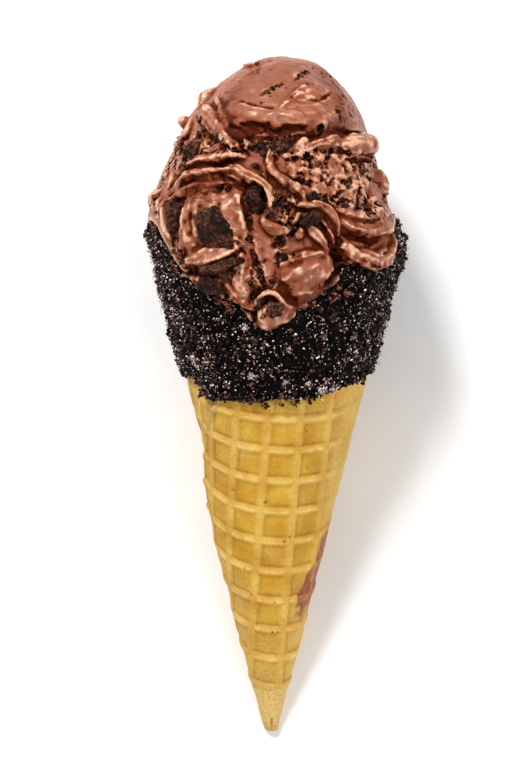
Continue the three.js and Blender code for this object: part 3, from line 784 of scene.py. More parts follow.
# Pale clumps and dark lumps on the coating, and where it shows no flecks and is left dark as
# painted shade of the gap under the ice cream: azimuth, slant and width.
PALE_CLUMPS = [
    (-46, 141, 5.2), (-38, 141, 3.6), (28, 133.6, 6.4), (36, 133, 5), (20, 135, 3),
    (-10, 138, 4.4), (8, 136, 3), (-13, 154, 3.6), (44, 150, 3), (-60, 158, 3.4),
    (52, 172, 3), (8, 147, 3),
]
DARK_LUMPS = [
    (-27, 130.6, 3.8), (5.5, 130.2, 4.2), (9, 130.6, 3.2), (-22, 130.6, 3), (-44, 130, 4),
    (22, 129.4, 3), (-36, 129.6, 3.2), (14, 129, 3.2), (62, 134, 3.4), (-3, 128, 3),
]
SHADED_PLACES = [(30, 163, 7), (26, 160, 6), (34, 166, 6)]


def clumped(spots, normals, width, count, random):
    """Places for a clump of grains round each spot, heaped on the surface there."""
    spread = random.normal(0, 0.2, (count, len(spots), 3)) * width[None, :, None]
    spread -= normals * (spread * normals).sum(-1, keepdims=True)
    rise = random.uniform(0.05, 0.3, (count, len(spots), 1)) * width[None, :, None]
    heap = spots + spread + normals * rise
    return heap.reshape(-1, 3), np.repeat(normals[None], count, 0).reshape(-1, 3)


def on_coating(places):
    """Points, normals and widths on the coating of (azimuth, slant, width) places."""
    azimuth, slant, width = np.array(places, float).T
    azimuth = np.where(azimuth < NOTCH, azimuth + 360, azimuth)
    height = coat_floor(np.maximum(slant, COAT_EDGE), azimuth) + 0.7 * COAT_THICKNESS
    spots = cone_point(slant, azimuth, height)
    normals = cone_point(slant, azimuth, height + 1) - spots
    return spots, normals, width


def coating_crumbs(points, faces, random):
    """Coarse and fine grains all over the crust, and more of them along its lower edge."""
    layers = [("crumbs_coarse", 1500, 1.6, 4.0, 0.5), ("crumbs_fine", 9800, 0.5, 1.7, 0.3)]
    for seed, (name, count, low, high, sunk) in enumerate(layers, 71):
        spots, normals = pick_spots(points, faces, count, seed)
        sizes = lerp(low, high, random.random(count)**2.2)
        scattered(name, spots, normals, sizes, sunk, COATING, "crumb_coat", seed + 10)
    azimuth = random.uniform(NOTCH, NOTCH + 360, EDGE_CRUMBS)
    slant = coat_edge(azimuth) + random.normal(0.5, 0.4, EDGE_CRUMBS)
    width = lerp(0.8, 2.4, random.random(EDGE_CRUMBS)**2)
    spots, normals, _ = on_coating(stack(azimuth, slant, width))
    lumps = on_coating(DARK_LUMPS)
    heap, heap_normals = clumped(*lumps, CRUMBS_PER_LUMP, random)
    spots = np.concatenate([spots, heap])
    normals = np.concatenate([normals, heap_normals])
    sizes = np.concatenate([width, 0.42 * np.tile(lumps[2], CRUMBS_PER_LUMP)])
    scattered("crumbs_edge", spots, normals, sizes, 0.6, COATING, "crumb_coat", 86)


def coating_flecks(points, faces, random):
    """Pale flecks, partly real bits and partly painted glints, in places closer together, and
    clumps of them. None lies in the ice cream or where the coating is left dark as painted
    shade."""
    close = smoothstep(noise(points[faces].mean(1), 5, 92), -0.4, 0.5) + 0.2
    spots, normals = pick_spots(points, faces, FLECKS, 90, close)
    spots = spots + normals * random.uniform(0.2, 1.3, (FLECKS, 1))
    sizes = lerp(0.3, 1.05, random.random(FLECKS)**2.4)
    clumps = on_coating(PALE_CLUMPS)
    heap, heap_normals = clumped(*clumps, FLECKS_PER_CLUMP, random)
    heap_sizes = np.tile(0.16 * clumps[2], FLECKS_PER_CLUMP) * random.uniform(0.5, 1.3, len(heap))
    spots = np.concatenate([spots, heap])
    normals = np.concatenate([normals, heap_normals])
    sizes = np.concatenate([sizes, heap_sizes])
    clear = clay.read(spots) > 0.5 * sizes
    # No flecks where the coating is left dark as painted shade.
    shaded_spots, _, shaded_widths = on_coating(SHADED_PLACES)
    for shaded_spot, shaded_width in zip(shaded_spots, shaded_widths):
        away = np.linalg.norm(spots - shaded_spot, axis=1)
        clear &= away > 0.5 * shaded_width * random.uniform(0.7, 1.1, len(spots))
    scattered("coat_flecks", spots[clear], normals[clear], sizes[clear], 0.3, FLECK,
              "crumb_coat", 91, stretch=0.65)


def crumb_coating():
    """The crust with its crumbs and flecks. The flecks ask where the ice cream lies, so this
    comes after it."""
    points, faces, seen = coat_shell()
    make_piece("crumb_coat", points, faces, COATING, "crumb_coat", replaces=["cookie_coat"])
    outside = faces[seen[faces].all(1)]
    random = np.random.default_rng(70)
    coating_crumbs(points, outside, random)
    coating_flecks(points, outside, random)


# ---- Ice cream ---------------------------------------------------------------------------
# Radius and y of its outline, from the top down, with how far its middle lies to the right.
OUTLINE = np.array([
    [0, 234.3, 3.4], [7, 233.4, 3.8], [13.4, 230.6, 4.1], [22.2, 222.8, 2.8], [28, 215, 1.8],
    [32, 205.5, 1.2], [36, 195.4, 0.2], [39.6, 184, -0.4], [40.3, 173, -0.3], [38.8, 161, 0],
    [36.5, 150, 0], [33, 138, 0],
])


def smooth_path(places, spacing):
    """A Catmull-Rom curve through places, as points about one spacing apart."""
    places = np.asarray(places, float)
    ends = np.concatenate([[2 * places[0] - places[1]], places, [2 * places[-1] - places[-2]]])
    pieces = []
    for p0, p1, p2, p3 in zip(ends, ends[1:], ends[2:], ends[3:]):
        count = max(2, int(np.linalg.norm(p2 - p1) / spacing))
        t = (np.arange(count) / count)[:, None]
        bend = 2 * p0 - 5 * p1 + 4 * p2 - p3
        twist = 3 * p1 - 3 * p2 + p3 - p0
        pieces.append(0.5 * (2 * p1 + (p2 - p0) * t + bend * t**2 + twist * t**3))
    return np.concatenate([*pieces, places[-1:]])


OUTLINE_PATH = smooth_path(OUTLINE, 0.5)


def form_at(y):
    """Radius of the ice cream's plain form at y, and where its middle lies."""
    down = OUTLINE_PATH[::-1]
    return np.interp(y, down[:, 1], down[:, 0]), np.interp(y, down[:, 1], down[:, 2])


def form_slope(y):
    """How much wider the plain form gets over the millimetre round y."""
    return form_at(y + 0.5)[0] - form_at(y - 0.5)[0]


def seat(across, along, lift=0):
    """The place on the front of the plain form seen at (across, along), raised by lift."""
    radius, middle = form_at(along)
    side = np.clip((across - middle) / np.maximum(radius, 0.1), -1, 1)
    front = np.sqrt(1 - side**2)
    normal = unit(stack(side, -form_slope(along), front))
    place = stack(middle + radius * side, along, radius * front)
    return place + normal * np.asarray(lift)[..., None]


def outward(points):
    """Unit normals of the plain form near the points."""
    radius, middle = form_at(points[..., 1])
    slope = form_slope(points[..., 1])
    return unit(stack(points[..., 0] - middle, -slope * np.maximum(radius, 1), points[..., 2]))


def soft_min(a, b, blend):
    """The smaller of two distances, rounded over blend mm where they meet."""
    overlap = np.maximum(blend - np.abs(a - b), 0)
    return np.minimum(a, b) - overlap * overlap / (4 * blend)


class Clay:
    """Soft stuff kept as distances to its surface in mm on a regular grid, negative inside."""

    def __init__(self, low, high, step):
        self.step = step
        self.axes = [np.arange(a, b, step, dtype=np.float32) for a, b in zip(low, high)]
        self.field = np.zeros([len(axis) for axis in self.axes], np.float32)
        self.roughness = np.zeros_like(self.field)

    def window(self, low, high):
        """The part of the grid between two corners, and the x, y and z of its places."""
        limits = zip(self.axes, zip(low, high))
        cut = tuple(slice(*np.searchsorted(axis, limit)) for axis, limit in limits)
        axes = [axis[part] for axis, part in zip(self.axes, cut)]
        return cut, np.meshgrid(*axes, indexing="ij", sparse=True)

    def add(self, cut, distance, blend):
        self.field[cut] = soft_min(self.field[cut], distance.astype(np.float32), blend)

    def carve(self, cut, distance, blend):
        self.field[cut] = -soft_min(-self.field[cut], distance.astype(np.float32), blend)

    def read(self, points, grid=None):
        """The distance, or another grid's value, at any points between the grid's places."""
        grid = self.field if grid is None else grid
        low = np.array([axis[0] for axis in self.axes])
        limit = np.array(self.field.shape) - 2
        scaled = (points - low) / self.step
        cell = np.clip(np.floor(scaled).astype(np.int32), 0, limit)
        part = np.clip(scaled - cell, 0, 1)
        value = np.zeros(len(points), np.float32)
        for corner in itertools.product((0, 1), repeat=3):
            spot = cell + corner
            weight = np.prod(np.where(corner, part, 1 - part), axis=1)
            value += weight * grid[spot[:, 0], spot[:, 1], spot[:, 2]]
        return value

    def normals(self, points):
        """Unit normals of the surface at the points."""
        steps = 0.6 * self.step * np.eye(3)
        slopes = [self.read(points + step) - self.read(points - step) for step in steps]
        return unit(np.stack(slopes, -1))

    def surface(self):
        """The surface as points and quads, one point in each grid cell that it crosses."""
        inside = self.field < 0
        cells_x, cells_y, cells_z = np.array(inside.shape) - 1
        counts = np.zeros((cells_x, cells_y, cells_z), np.int8)
        corners = list(itertools.product((0, 1), repeat=3))
        for x, y, z in corners:
            counts += inside[x:x + cells_x, y:y + cells_y, z:z + cells_z]
        cells = np.argwhere((counts > 0) & (counts < 8))
        number = np.full(counts.shape, -1, np.int32)
        number[tuple(cells.T)] = np.arange(len(cells))
        values = [self.field[tuple((cells + corner).T)] for corner in corners]
        total = np.zeros((len(cells), 3))
        crossings = np.zeros(len(cells))
        for i, a in enumerate(corners):
            for j, b in enumerate(corners):
                if sum(b) - sum(a) == 1 and all(q >= p for p, q in zip(a, b)):
                    cross = (values[i] < 0) != (values[j] < 0)
                    part = values[i] / np.where(cross, values[i] - values[j], 1)
                    spot = np.array(a) + part[:, None] * (np.array(b) - np.array(a))
                    total += np.where(cross[:, None], spot, 0)
                    crossings += cross
        low = np.array([axis[0] for axis in self.axes])
        points = low + self.step * (cells + total / crossings[:, None])
        quads = []
        for axis in range(3):
            u, v = (axis + 1) % 3, (axis + 2) % 3
            near = np.take(inside, np.arange(inside.shape[axis] - 1), axis)
            far = np.take(inside, np.arange(1, inside.shape[axis]), axis)
            edges = np.argwhere(near != far)
            sides = edges[:, [u, v]]
            edges = edges[((sides > 0) & (sides < [counts.shape[u], counts.shape[v]])).all(1)]
            outwards = near[tuple(edges.T)]
            ring = []
            for du, dv in ((-1, -1), (0, -1), (0, 0), (-1, 0)):
                cell = edges.copy()
                cell[:, u] += du
                cell[:, v] += dv
                ring.append(number[tuple(cell.T)])
            quad = np.stack(ring, -1)
            quads.append(np.where(outwards[:, None], quad, quad[:, ::-1]))
        return points, np.concatenate(quads)


clay = Clay(low=(-46, 139, -45), high=(46, 240, 46), step=0.5)


def plain_form():
    """The scooped body without its folds, as distances to its outline. They are looked up
    in a finer table by radius and y."""
    x, y, z = np.meshgrid(*clay.axes, indexing="ij", sparse=True)
    spacing = 0.25
    radii, heights = np.arange(0, 66, spacing), np.arange(120, 245, spacing)
    path = OUTLINE_PATH[:, :2]
    r, h = np.meshgrid(radii, heights, indexing="ij")
    nearest = np.full(r.shape, 1e6)
    for place in smooth_path(path[::4], 0.3):
        nearest = np.minimum(nearest, (r - place[0])**2 + (h - place[1])**2)
    inside = r < np.interp(h, path[::-1, 1], path[::-1, 0], left=path[-1, 0], right=-1)
    table = np.where(inside, -1, 1) * np.sqrt(nearest)
    _, middle = form_at(y)
    radius = np.sqrt((x - middle)**2 + z**2)
    i = np.clip((radius / spacing).astype(np.int32), 0, len(radii) - 2)
    j = np.broadcast_to(((y - heights[0]) / spacing).astype(np.int32), i.shape)
    part = radius / spacing - i
    clay.field[:] = lerp(table[i, j], table[i + 1, j], part)


def streak_noise(side, lengthwise, seed):
    """Fine lines drawn out along a fold."""
    return noise(stack(side, lengthwise, 0 * side), (0.8, 7, 1), seed)


def settle(across, along, lift=0):
    """The places seen at (across, along) that stand lift off the ice cream as it is so far.
    They start well above it and move in until they meet it."""
    height = np.full(len(across), 6.0)
    for _ in range(30):
        height -= 0.8 * np.maximum(clay.read(seat(across, along, height)), 0)
    return seat(across, along, height + lift)


FOLD_SPACING = 0.7
FOLD_TAPER = 6


def fold(places, widths, thickness, blend=0.8, streaks=0.34, ragged=0.2, on_top=False,
         carve=False, seed=1):
    """A fold, ledge or, carved, a furrow along (across, along, lift) places. Its two widths
    reach out to the left and right of that path, and it thins out towards its ends. Its lift
    is over the plain form or, on top, over the surface that is there."""
    places = np.asarray(places, float)
    path = smooth_path((settle if on_top else seat)(*places.T), FOLD_SPACING)
    path = path + 0.5 * np.stack([noise(path, 4, seed + i) for i in range(3)], -1)
    along = unit(np.gradient(path, axis=0))
    out = outward(path)
    out = unit(out - along * (out * along).sum(1, keepdims=True))
    right = np.cross(along, out)
    travelled = np.concatenate([[0], np.cumsum(np.linalg.norm(np.diff(path, axis=0), axis=1))])
    room = np.minimum(travelled, travelled[-1] - travelled)
    taper = min(FOLD_TAPER, 0.5 * travelled[-1])
    slim = 0.4 + 0.6 * np.sqrt(np.clip(room / taper, 0, 1))
    slim = slim * (1 + 0.25 * noise(path, 5, seed + 3))
    left_width, right_width = (widths, widths) if np.isscalar(widths) else widths
    margin = max(left_width, right_width, thickness / 2) + blend + 1
    cut, (x, y, z) = clay.window(path.min(0) - margin, path.max(0) + margin)
    best = np.full(np.broadcast_shapes(x.shape, y.shape, z.shape), 1e9, np.float32)
    nearest = np.zeros(best.shape, np.int32)
    for i, (px, py, pz) in enumerate(path.astype(np.float32)):
        away = (x - px)**2 + (y - py)**2 + (z - pz)**2
        closer = away < best
        best = np.where(closer, away, best)
        nearest[closer] = i
    points = stack(x, y, z)
    offset = points - path[nearest]
    u = (offset * right[nearest]).sum(-1)
    v = (offset * out[nearest]).sum(-1)
    t = (offset * along[nearest]).sum(-1)
    half_width = np.where(u > 0, right_width, left_width) * slim[nearest]
    half_thickness = 0.5 * thickness * slim[nearest]
    steep = np.minimum(half_width, half_thickness)
    reach = np.sqrt((u / half_width)**2 + (v / half_thickness)**2 + (t / steep)**2)
    distance = (reach - 1) * steep
    distance = distance + streaks * streak_noise(u, travelled[nearest] + t, seed)
    distance = distance + ragged * noise(points, 1.7, seed + 4)
    (clay.carve if carve else clay.add)(cut, distance, blend)


def lump(place, size, turn=0, blend=0.8, rough=0.15, carve=False, seed=1):
    """A rounded lump or, carved, a hollow at an (across, along, lift) place. Its size is its
    width, height and thickness, and it is turned by some degrees in the surface."""
    centre = seat(*[np.float64(value) for value in place])
    out = outward(centre)
    up = unit(np.array([0, 1, 0]) - out * out[1])
    side = np.cross(up, out)
    c, s = np.cos(np.radians(turn)), np.sin(np.radians(turn))
    side, up = c * side + s * up, c * up - s * side
    margin = 0.5 * max(size) + blend + 1
    cut, (x, y, z) = clay.window(centre - margin, centre + margin)
    offset = stack(x, y, z) - centre
    half = np.array(size) / 2
    local = np.stack([(offset * axis).sum(-1) for axis in (side, up, out)], -1) / half
    reach = np.linalg.norm(local, axis=-1)
    distance = (reach - 1) * half.min()
    distance = distance + rough * noise(offset + centre, 1.8, seed)
    (clay.carve if carve else clay.add)(cut, distance, blend)


def furrow(places, widths, thickness, blend=0.5, **options):
    """A fold's shape cut into the ice cream."""
    fold(places, widths, thickness, blend=blend, carve=True, **options)


def hollow(place, size, blend=0.6, **options):
    """A lump's shape pressed into the ice cream."""
    lump(place, size, blend=blend, carve=True, **options)


# Turns points so that their first axis runs with the scoop's scrape marks.
SCRAPE_TURN = np.array(Matrix.Rotation(np.radians(-24), 3, "Z"))


def torn(places, radius, depth, size, seed):
    """Breaks up the surface round a line of (across, along) places into crumbly crests and
    pits, out to the radius."""
    path = smooth_path(seat(*np.array(places, float).T), 2.0)
    margin = radius + 1
    cut, (x, y, z) = clay.window(path.min(0) - margin, path.max(0) + margin)
    points = stack(x, y, z)
    away = np.full(points.shape[:-1], 1e9, np.float32)
    for place in path:
        away = np.minimum(away, ((points - place)**2).sum(-1))
    share = 1 - smoothstep(np.sqrt(away), 0.45 * radius, radius)
    share = share * (0.25 + 0.75 * smoothstep(noise(points, 4, seed + 8), -0.4, 0.3))
    pitted = crumble(points @ SCRAPE_TURN, (1.6 * size, 0.8 * size, size), seed)
    lumpy = 1.2 - crumble(points, 1.3 * size, seed + 5)
    broken = lerp(pitted, lumpy, smoothstep(noise(points, 3.4, seed + 9), -0.4, 0.2))
    clay.field[cut] += (share * depth * (0.62 - broken)).astype(np.float32) * 2
    clay.roughness[cut] = np.maximum(clay.roughness[cut], share)


def keep_off_the_cone():
    """Cuts the ice cream back to the inside of the coated wall."""
    x, y, z = np.meshgrid(*clay.axes, indexing="ij", sparse=True)
    radius = np.hypot(x, z)
    azimuth = np.degrees(np.arctan2(x, z))
    azimuth = np.where(azimuth < NOTCH, azimuth + 360, azimuth)
    slant = radius * SIN_A + y * COS_A
    height = radius * COS_A - y * SIN_A
    rim = mouth_edge(azimuth)
    height = height + pressed_in(slant, azimuth)
    wall = np.maximum(slant - rim - 0.8, COAT_INNER_FACE - 1.0 - height)
    clay.field[:] = -soft_min(-clay.field, wall.astype(np.float32), 0.6)


plain_form()
keep_off_the_cone()


# Paths that run to the right have their second width below them.
def upper_scoop_folds():
    """A smooth dome over a lip, a roll at its right and slabs and small folds at its left."""
    lump((5, 219, -3.4), (32, 20, 9), turn=4, blend=5)
    fold([(-11.8, 216, 0), (-6.9, 215.2, 0.5), (-1.6, 214, 0.7), (1.4, 214.6, 0.3)], (2.4, 1.7),
         4, blend=2.6, seed=11)
    fold([(3, 215, 0.3), (8.9, 213.8, 0.7), (15.3, 213.8, 0.8), (18.6, 216, 0)], (4, 2), 4.4,
         blend=4, seed=12)
    lump((14.6, 221, -1), (13, 6.4, 4), turn=-24, blend=2.6, rough=0.5, seed=24)
    lump((20.6, 217.4, -0.8), (6, 9, 4), turn=-16, blend=2.2, rough=0.5, seed=25)
    lump((-3.4, 219, -0.9), (10, 5, 3), turn=14, blend=2.2, rough=0.4, seed=26)
    lump((21.2, 219.4, -0.5), (4, 7, 3), turn=-20, blend=1.2, rough=0.5, seed=28)
    fold([(3.4, 216.6, -0.6), (6.4, 220, -0.3), (10, 222.6, -0.3), (15.4, 224, -0.6)], (0.7, 5),
         2, blend=0.4, ragged=0.4, on_top=True, seed=29)
    fold([(7.4, 209.4, 0.2), (11, 210.2, 0.8), (14, 208.6, 0.7)], 0.9, 3, seed=100)
    fold([(-6.8, 210.4, 0), (-1, 209.6, 0.4), (4, 208.8, 0)], (0.7, 1), 2.4, seed=101)
    fold([(-10.4, 209.6, -0.4), (-3, 209, 0.3), (3, 209, 0.4), (9.4, 208.6, 0)], (1.6, 1.9), 3.4,
         blend=1.4, ragged=0.6, seed=13)
    fold([(-8.6, 207, -0.4), (-2, 208, 0.2), (4, 207.9, 0.2)], (1.6, 0.8), 3, ragged=0.5, seed=14)
    fold([(21.4, 205.6, 0), (25, 205.6, 1.2), (29, 205, 1.7), (32.2, 203.8, 1)], (3.6, 2.9), 6.4,
         seed=15)
    lump((19.6, 206.8, 0), (6, 4, 4), turn=-20, blend=1.2, rough=0.4)
    fold([(8.4, 203.6, 0), (12.7, 205.4, 0.7), (17, 207, 0.9), (22, 207.4, 0.2)], (1.8, 1.1), 4,
         seed=16)
    lump((9.8, 207.2, 0.5), (5, 4.4, 5), turn=30)
    fold([(-21.4, 217.4, 0.2), (-17.6, 213, 0.6), (-14, 209, 0.6), (-11, 206, 0)], (3.4, 2.6), 4,
         seed=17)
    fold([(-17.6, 220.2, 0), (-14.9, 216.4, 0.6), (-12.4, 212.3, 0.6), (-10.1, 207.4, 0.1)],
         (0.9, 1.1), 3.6, seed=18)
    fold([(-23, 216, 0), (-20.2, 212, 0.4), (-17.5, 208.6, 0)], (1.2, 1), 3, ragged=0.4, seed=19)
    lump((-28.2, 212.9, 0.4), (5.4, 4.2, 5.6))
    fold([(-25.4, 213.6, 0), (-26.2, 210, 0.5), (-28.6, 206.8, 0.4), (-31, 203, 0)], (1.7, 1.3),
         4, seed=20)
    fold([(-22.4, 207.4, 0), (-24.6, 204.8, 0.4), (-28, 201.6, 0)], (0.9, 1.2), 3, ragged=0.4,
         seed=21)
    fold([(-17.5, 224.2, -1.6), (-20.6, 221, -1.4), (-23.6, 216.8, -1.4)], 2.6, 6.4, seed=22)
    fold([(-2.8, 232.6, 0.4), (-5.8, 231.4, 0.7), (-8.6, 231, 0.9)], 0.85, 2, blend=0.5,
         ragged=0.1, seed=23)


def left_folds():
    """A broad ribbon that curls over and runs down as a smooth tongue, with the ends of
    older folds showing under it."""
    fold([(-27.4, 198.4, 0), (-21.1, 200.6, 0.6), (-14.7, 201.4, 0.8), (-8.4, 202, 0.2)],
         (3, 1.2), 4.6, seed=31)
    fold([(-28.6, 194, -0.4), (-22.7, 196, 0.5), (-14.7, 196.8, 1.1), (-7.6, 195.6, 1.4),
          (-3, 193, 1.5), (-1, 189.8, 1.2), (-0.6, 186.6, 0.2)], (2.6, 1.4), 6, seed=32)
    fold([(-30, 191, -0.5), (-23.6, 192.8, 0.1), (-16, 194, 0.5), (-10, 194, 0.4)], (1.6, 0.9), 4,
         seed=33)
    fold([(-32.4, 188, -0.4), (-26, 190.4, 0), (-19, 192, 0.5)], (1.5, 0.8), 4, seed=34)
    lump((-13, 185.8, -0.2), (12, 15, 6.4), turn=6, blend=1.6, rough=0.4, seed=35)
    lump((-11.6, 179.4, -0.2), (8, 9, 6), turn=-12, blend=1.2, rough=0.6, seed=46)
    fold([(-10.8, 192.6, 0.4), (-9.6, 188, 1), (-9.4, 182.6, 1.2), (-8.8, 177, 0.8)], (1.6, 1.4),
         4, blend=1.4, ragged=0.6, seed=47)
    lump((-17.6, 187.4, 1), (5.4, 6.6, 4), turn=20, blend=1, rough=0.3, seed=36)
    fold([(-23.6, 191, -0.2), (-25.6, 185.6, 0.4), (-25.8, 178, 0.4), (-23.6, 171, 0)],
         (2.2, 2.4), 4, blend=1.2, ragged=0.5, seed=37)
    fold([(-20.8, 192.4, 0), (-22.4, 188.4, 0.5), (-22.9, 183, 0.5), (-22.9, 176.6, 0)],
         (1.5, 1.2), 4, blend=1.2, ragged=0.5, seed=45)
    lump((-19.6, 188.8, -0.1), (9, 8, 5), turn=24, blend=1.6, rough=0.4, seed=48)
    fold([(-34.5, 192, -0.4), (-37, 188.6, 0), (-37.4, 185, -0.4)], (2, 1.6), 4.6, seed=38)
    fold([(-31.4, 191, -0.2), (-33, 187, 0.5), (-32.8, 181, 0.5), (-30.4, 175.6, 0)], (1.2, 1.1),
         4.4, seed=39)
    fold([(-34.6, 189.6, -0.4), (-35.4, 186, 0.1), (-34.4, 182.4, -0.2)], 0.8, 3,
         ragged=0.5, seed=43)
    lump((-38.4, 188.4, -0.4), (4.4, 5.6, 5), turn=20, rough=0.5, seed=44)
    fold([(-28.4, 189, -0.3), (-29, 186.6, 0), (-27.2, 178, 0.2), (-27.4, 173, 0)], 0.9, 3,
         seed=40)
    fold([(-27, 167.4, 0), (-20.9, 169.4, 0.9), (-14.6, 171.6, 1.2), (-9.6, 174.4, 0.5)],
         (3.6, 1.2), 5.4, seed=41)
    fold([(-30, 165, -0.4), (-23, 163.6, 0), (-17, 160.6, 0)], (2, 1), 3, ragged=0.5, seed=42)


def middle_folds():
    """A thin finger drawn down from the upper scoop, and the small lumps around the chunks."""
    fold([(0.9, 205, -0.2), (0.2, 200.3, 0.8), (1.8, 196.6, 1.3), (5.1, 194, 1.5),
          (8.6, 191.4, 1.6), (10.4, 188, 0.8)], (1.5, 1.7), 5, seed=51)
    fold([(-2.6, 200.6, 0), (-1.6, 196.4, 0.6), (-1.4, 192, 0.6), (-0.4, 188.4, 1),
          (0.6, 185.6, 0.6)], 0.8, 2.4, blend=0.4, seed=52)
    fold([(-5.6, 193, 0), (-6.6, 188.6, 0.3), (-6.8, 184.6, 0)], 0.6, 3, blend=0.4,
         seed=53)
    fold([(-2.6, 184.8, 0.4), (-1.2, 181.8, 1.3), (1.8, 180, 1.4), (5.8, 180.2, 0.4)], (1.5, 1.9),
         5.4, blend=0.5, streaks=0.05, ragged=0.1, seed=59)
    lump((8.6, 178.9, 0.8), (3.2, 4.4, 4.6))
    fold([(3.5, 189.6, 0), (8.9, 187.6, 0.9), (14.2, 186.8, 1.1), (17.9, 184.8, 1.1),
          (20, 181.4, 0.9), (20.8, 177, 0)], (1.3, 1.1), 4.6, seed=54)
    fold([(13.9, 184, 0), (15.8, 182, 0.8), (17.6, 178.8, 1), (19.4, 174.2, 0.2)], (1.2, 1), 4.4,
         seed=55)
    fold([(9.4, 185.2, 0.1), (7.9, 182.4, 0.6), (7.6, 180, 0.2)], 0.9, 3.6, seed=56)
    fold([(11.2, 180.6, 0.4), (14.6, 176.8, 0.9), (17.6, 173, 0.2)], (2.6, 2), 4.6, seed=57)
    fold([(-7.8, 199, 0.4), (-5.4, 196.6, 1), (-2.6, 196.6, 0.8)], (0.8, 0.9), 3, seed=58)


def right_folds():
    """Folds that sweep round like a curled leaf, over a lip that rests on the rim."""
    lump((35, 177.4, -0.2), (9, 11, 6), blend=1)
    fold([(18.6, 188.2, -0.2), (22.4, 184.6, 0.4), (27.6, 182.8, 0.8), (33.1, 182.6, 0.5),
          (38, 184.6, -0.2)], (3, 0.9), 4, ragged=0.5, seed=61)
    fold([(20.4, 181.6, 0.2), (25, 178.8, 1.1), (30.5, 177.6, 1.4), (35.4, 178.8, 1.2),
          (38.6, 182.6, 0)], (4, 1.3), 5.4, blend=1.2, seed=62)
    fold([(20.9, 177.6, 0), (25, 175.2, 0.3), (30.7, 174.2, 0.4), (35.8, 175.8, 0.3)], (1.4, 1),
         3, blend=1.2, seed=63)
    lump((35.6, 193.4, 0.2), (5, 8.4, 5), turn=10, blend=1, rough=0.4, seed=67)
    fold([(20.4, 174.4, 0.2), (24, 171.4, 1.4), (28, 169.4, 2), (31.6, 168.6, 2.2),
          (34.8, 170.2, 2), (36.8, 173.4, 1.6), (36.8, 178, 0.4)], (4, 1.8), 7, blend=1.2,
         ragged=0.3, seed=64)
    fold([(22.4, 170, 0), (26.4, 167.6, 0.9), (30.4, 166.6, 1.2), (34.6, 167, 0.8)], (1.2, 1),
         3.4, ragged=0.5, seed=65)


def lower_folds():
    """A smooth petal, the torn channel beside it and a tongue that hangs over the coating."""
    lump((11.4, 167, -1), (18.6, 12.6, 9.4), turn=14, rough=0.3, seed=75)
    lump((9.4, 161.4, -1.8), (13, 6.4, 8), turn=8, blend=1.6, rough=0.4, seed=76)
    fold([(3.4, 169.6, 0.6), (7.6, 172, 1), (12.6, 173, 1), (17, 172.6, 0.4)], (1, 1.4), 4,
         ragged=0.6, seed=77)
    fold([(4.4, 164.6, 2), (8.6, 167.6, 3.2), (13.4, 169.4, 3)], (1.6, 1.2), 2.4, blend=1.2,
         seed=78)
    fold([(-9.4, 172, 0), (-9, 164, 0.6), (-8, 157.6, 0)], 3, 5, blend=1.2, seed=71)
    fold([(-15, 162.4, -0.2), (-10.6, 158.4, 0.4), (-5.4, 154.8, 0.2)], (2.4, 1.2), 4, ragged=0.5,
         seed=72)
    lump((1.4, 153.6, 1.1), (11.4, 8.2, 6), turn=12, rough=0.5, seed=79)
    lump((-0.6, 151.4, 0.9), (7, 5.4, 5), turn=24, blend=1, rough=0.4, seed=80)
    fold([(-4.4, 156.4, 1.0), (-2.6, 159.4, 1.8), (1, 160.2, 2), (4.6, 157.2, 2.2),
          (7.8, 156, 1)], (1.2, 1.1), 3.6, seed=73)
    fold([(2.6, 165.4, 0.2), (0.6, 161.4, 0.8), (3.4, 157.6, 0.8)], 1, 3, ragged=0.4, seed=74)


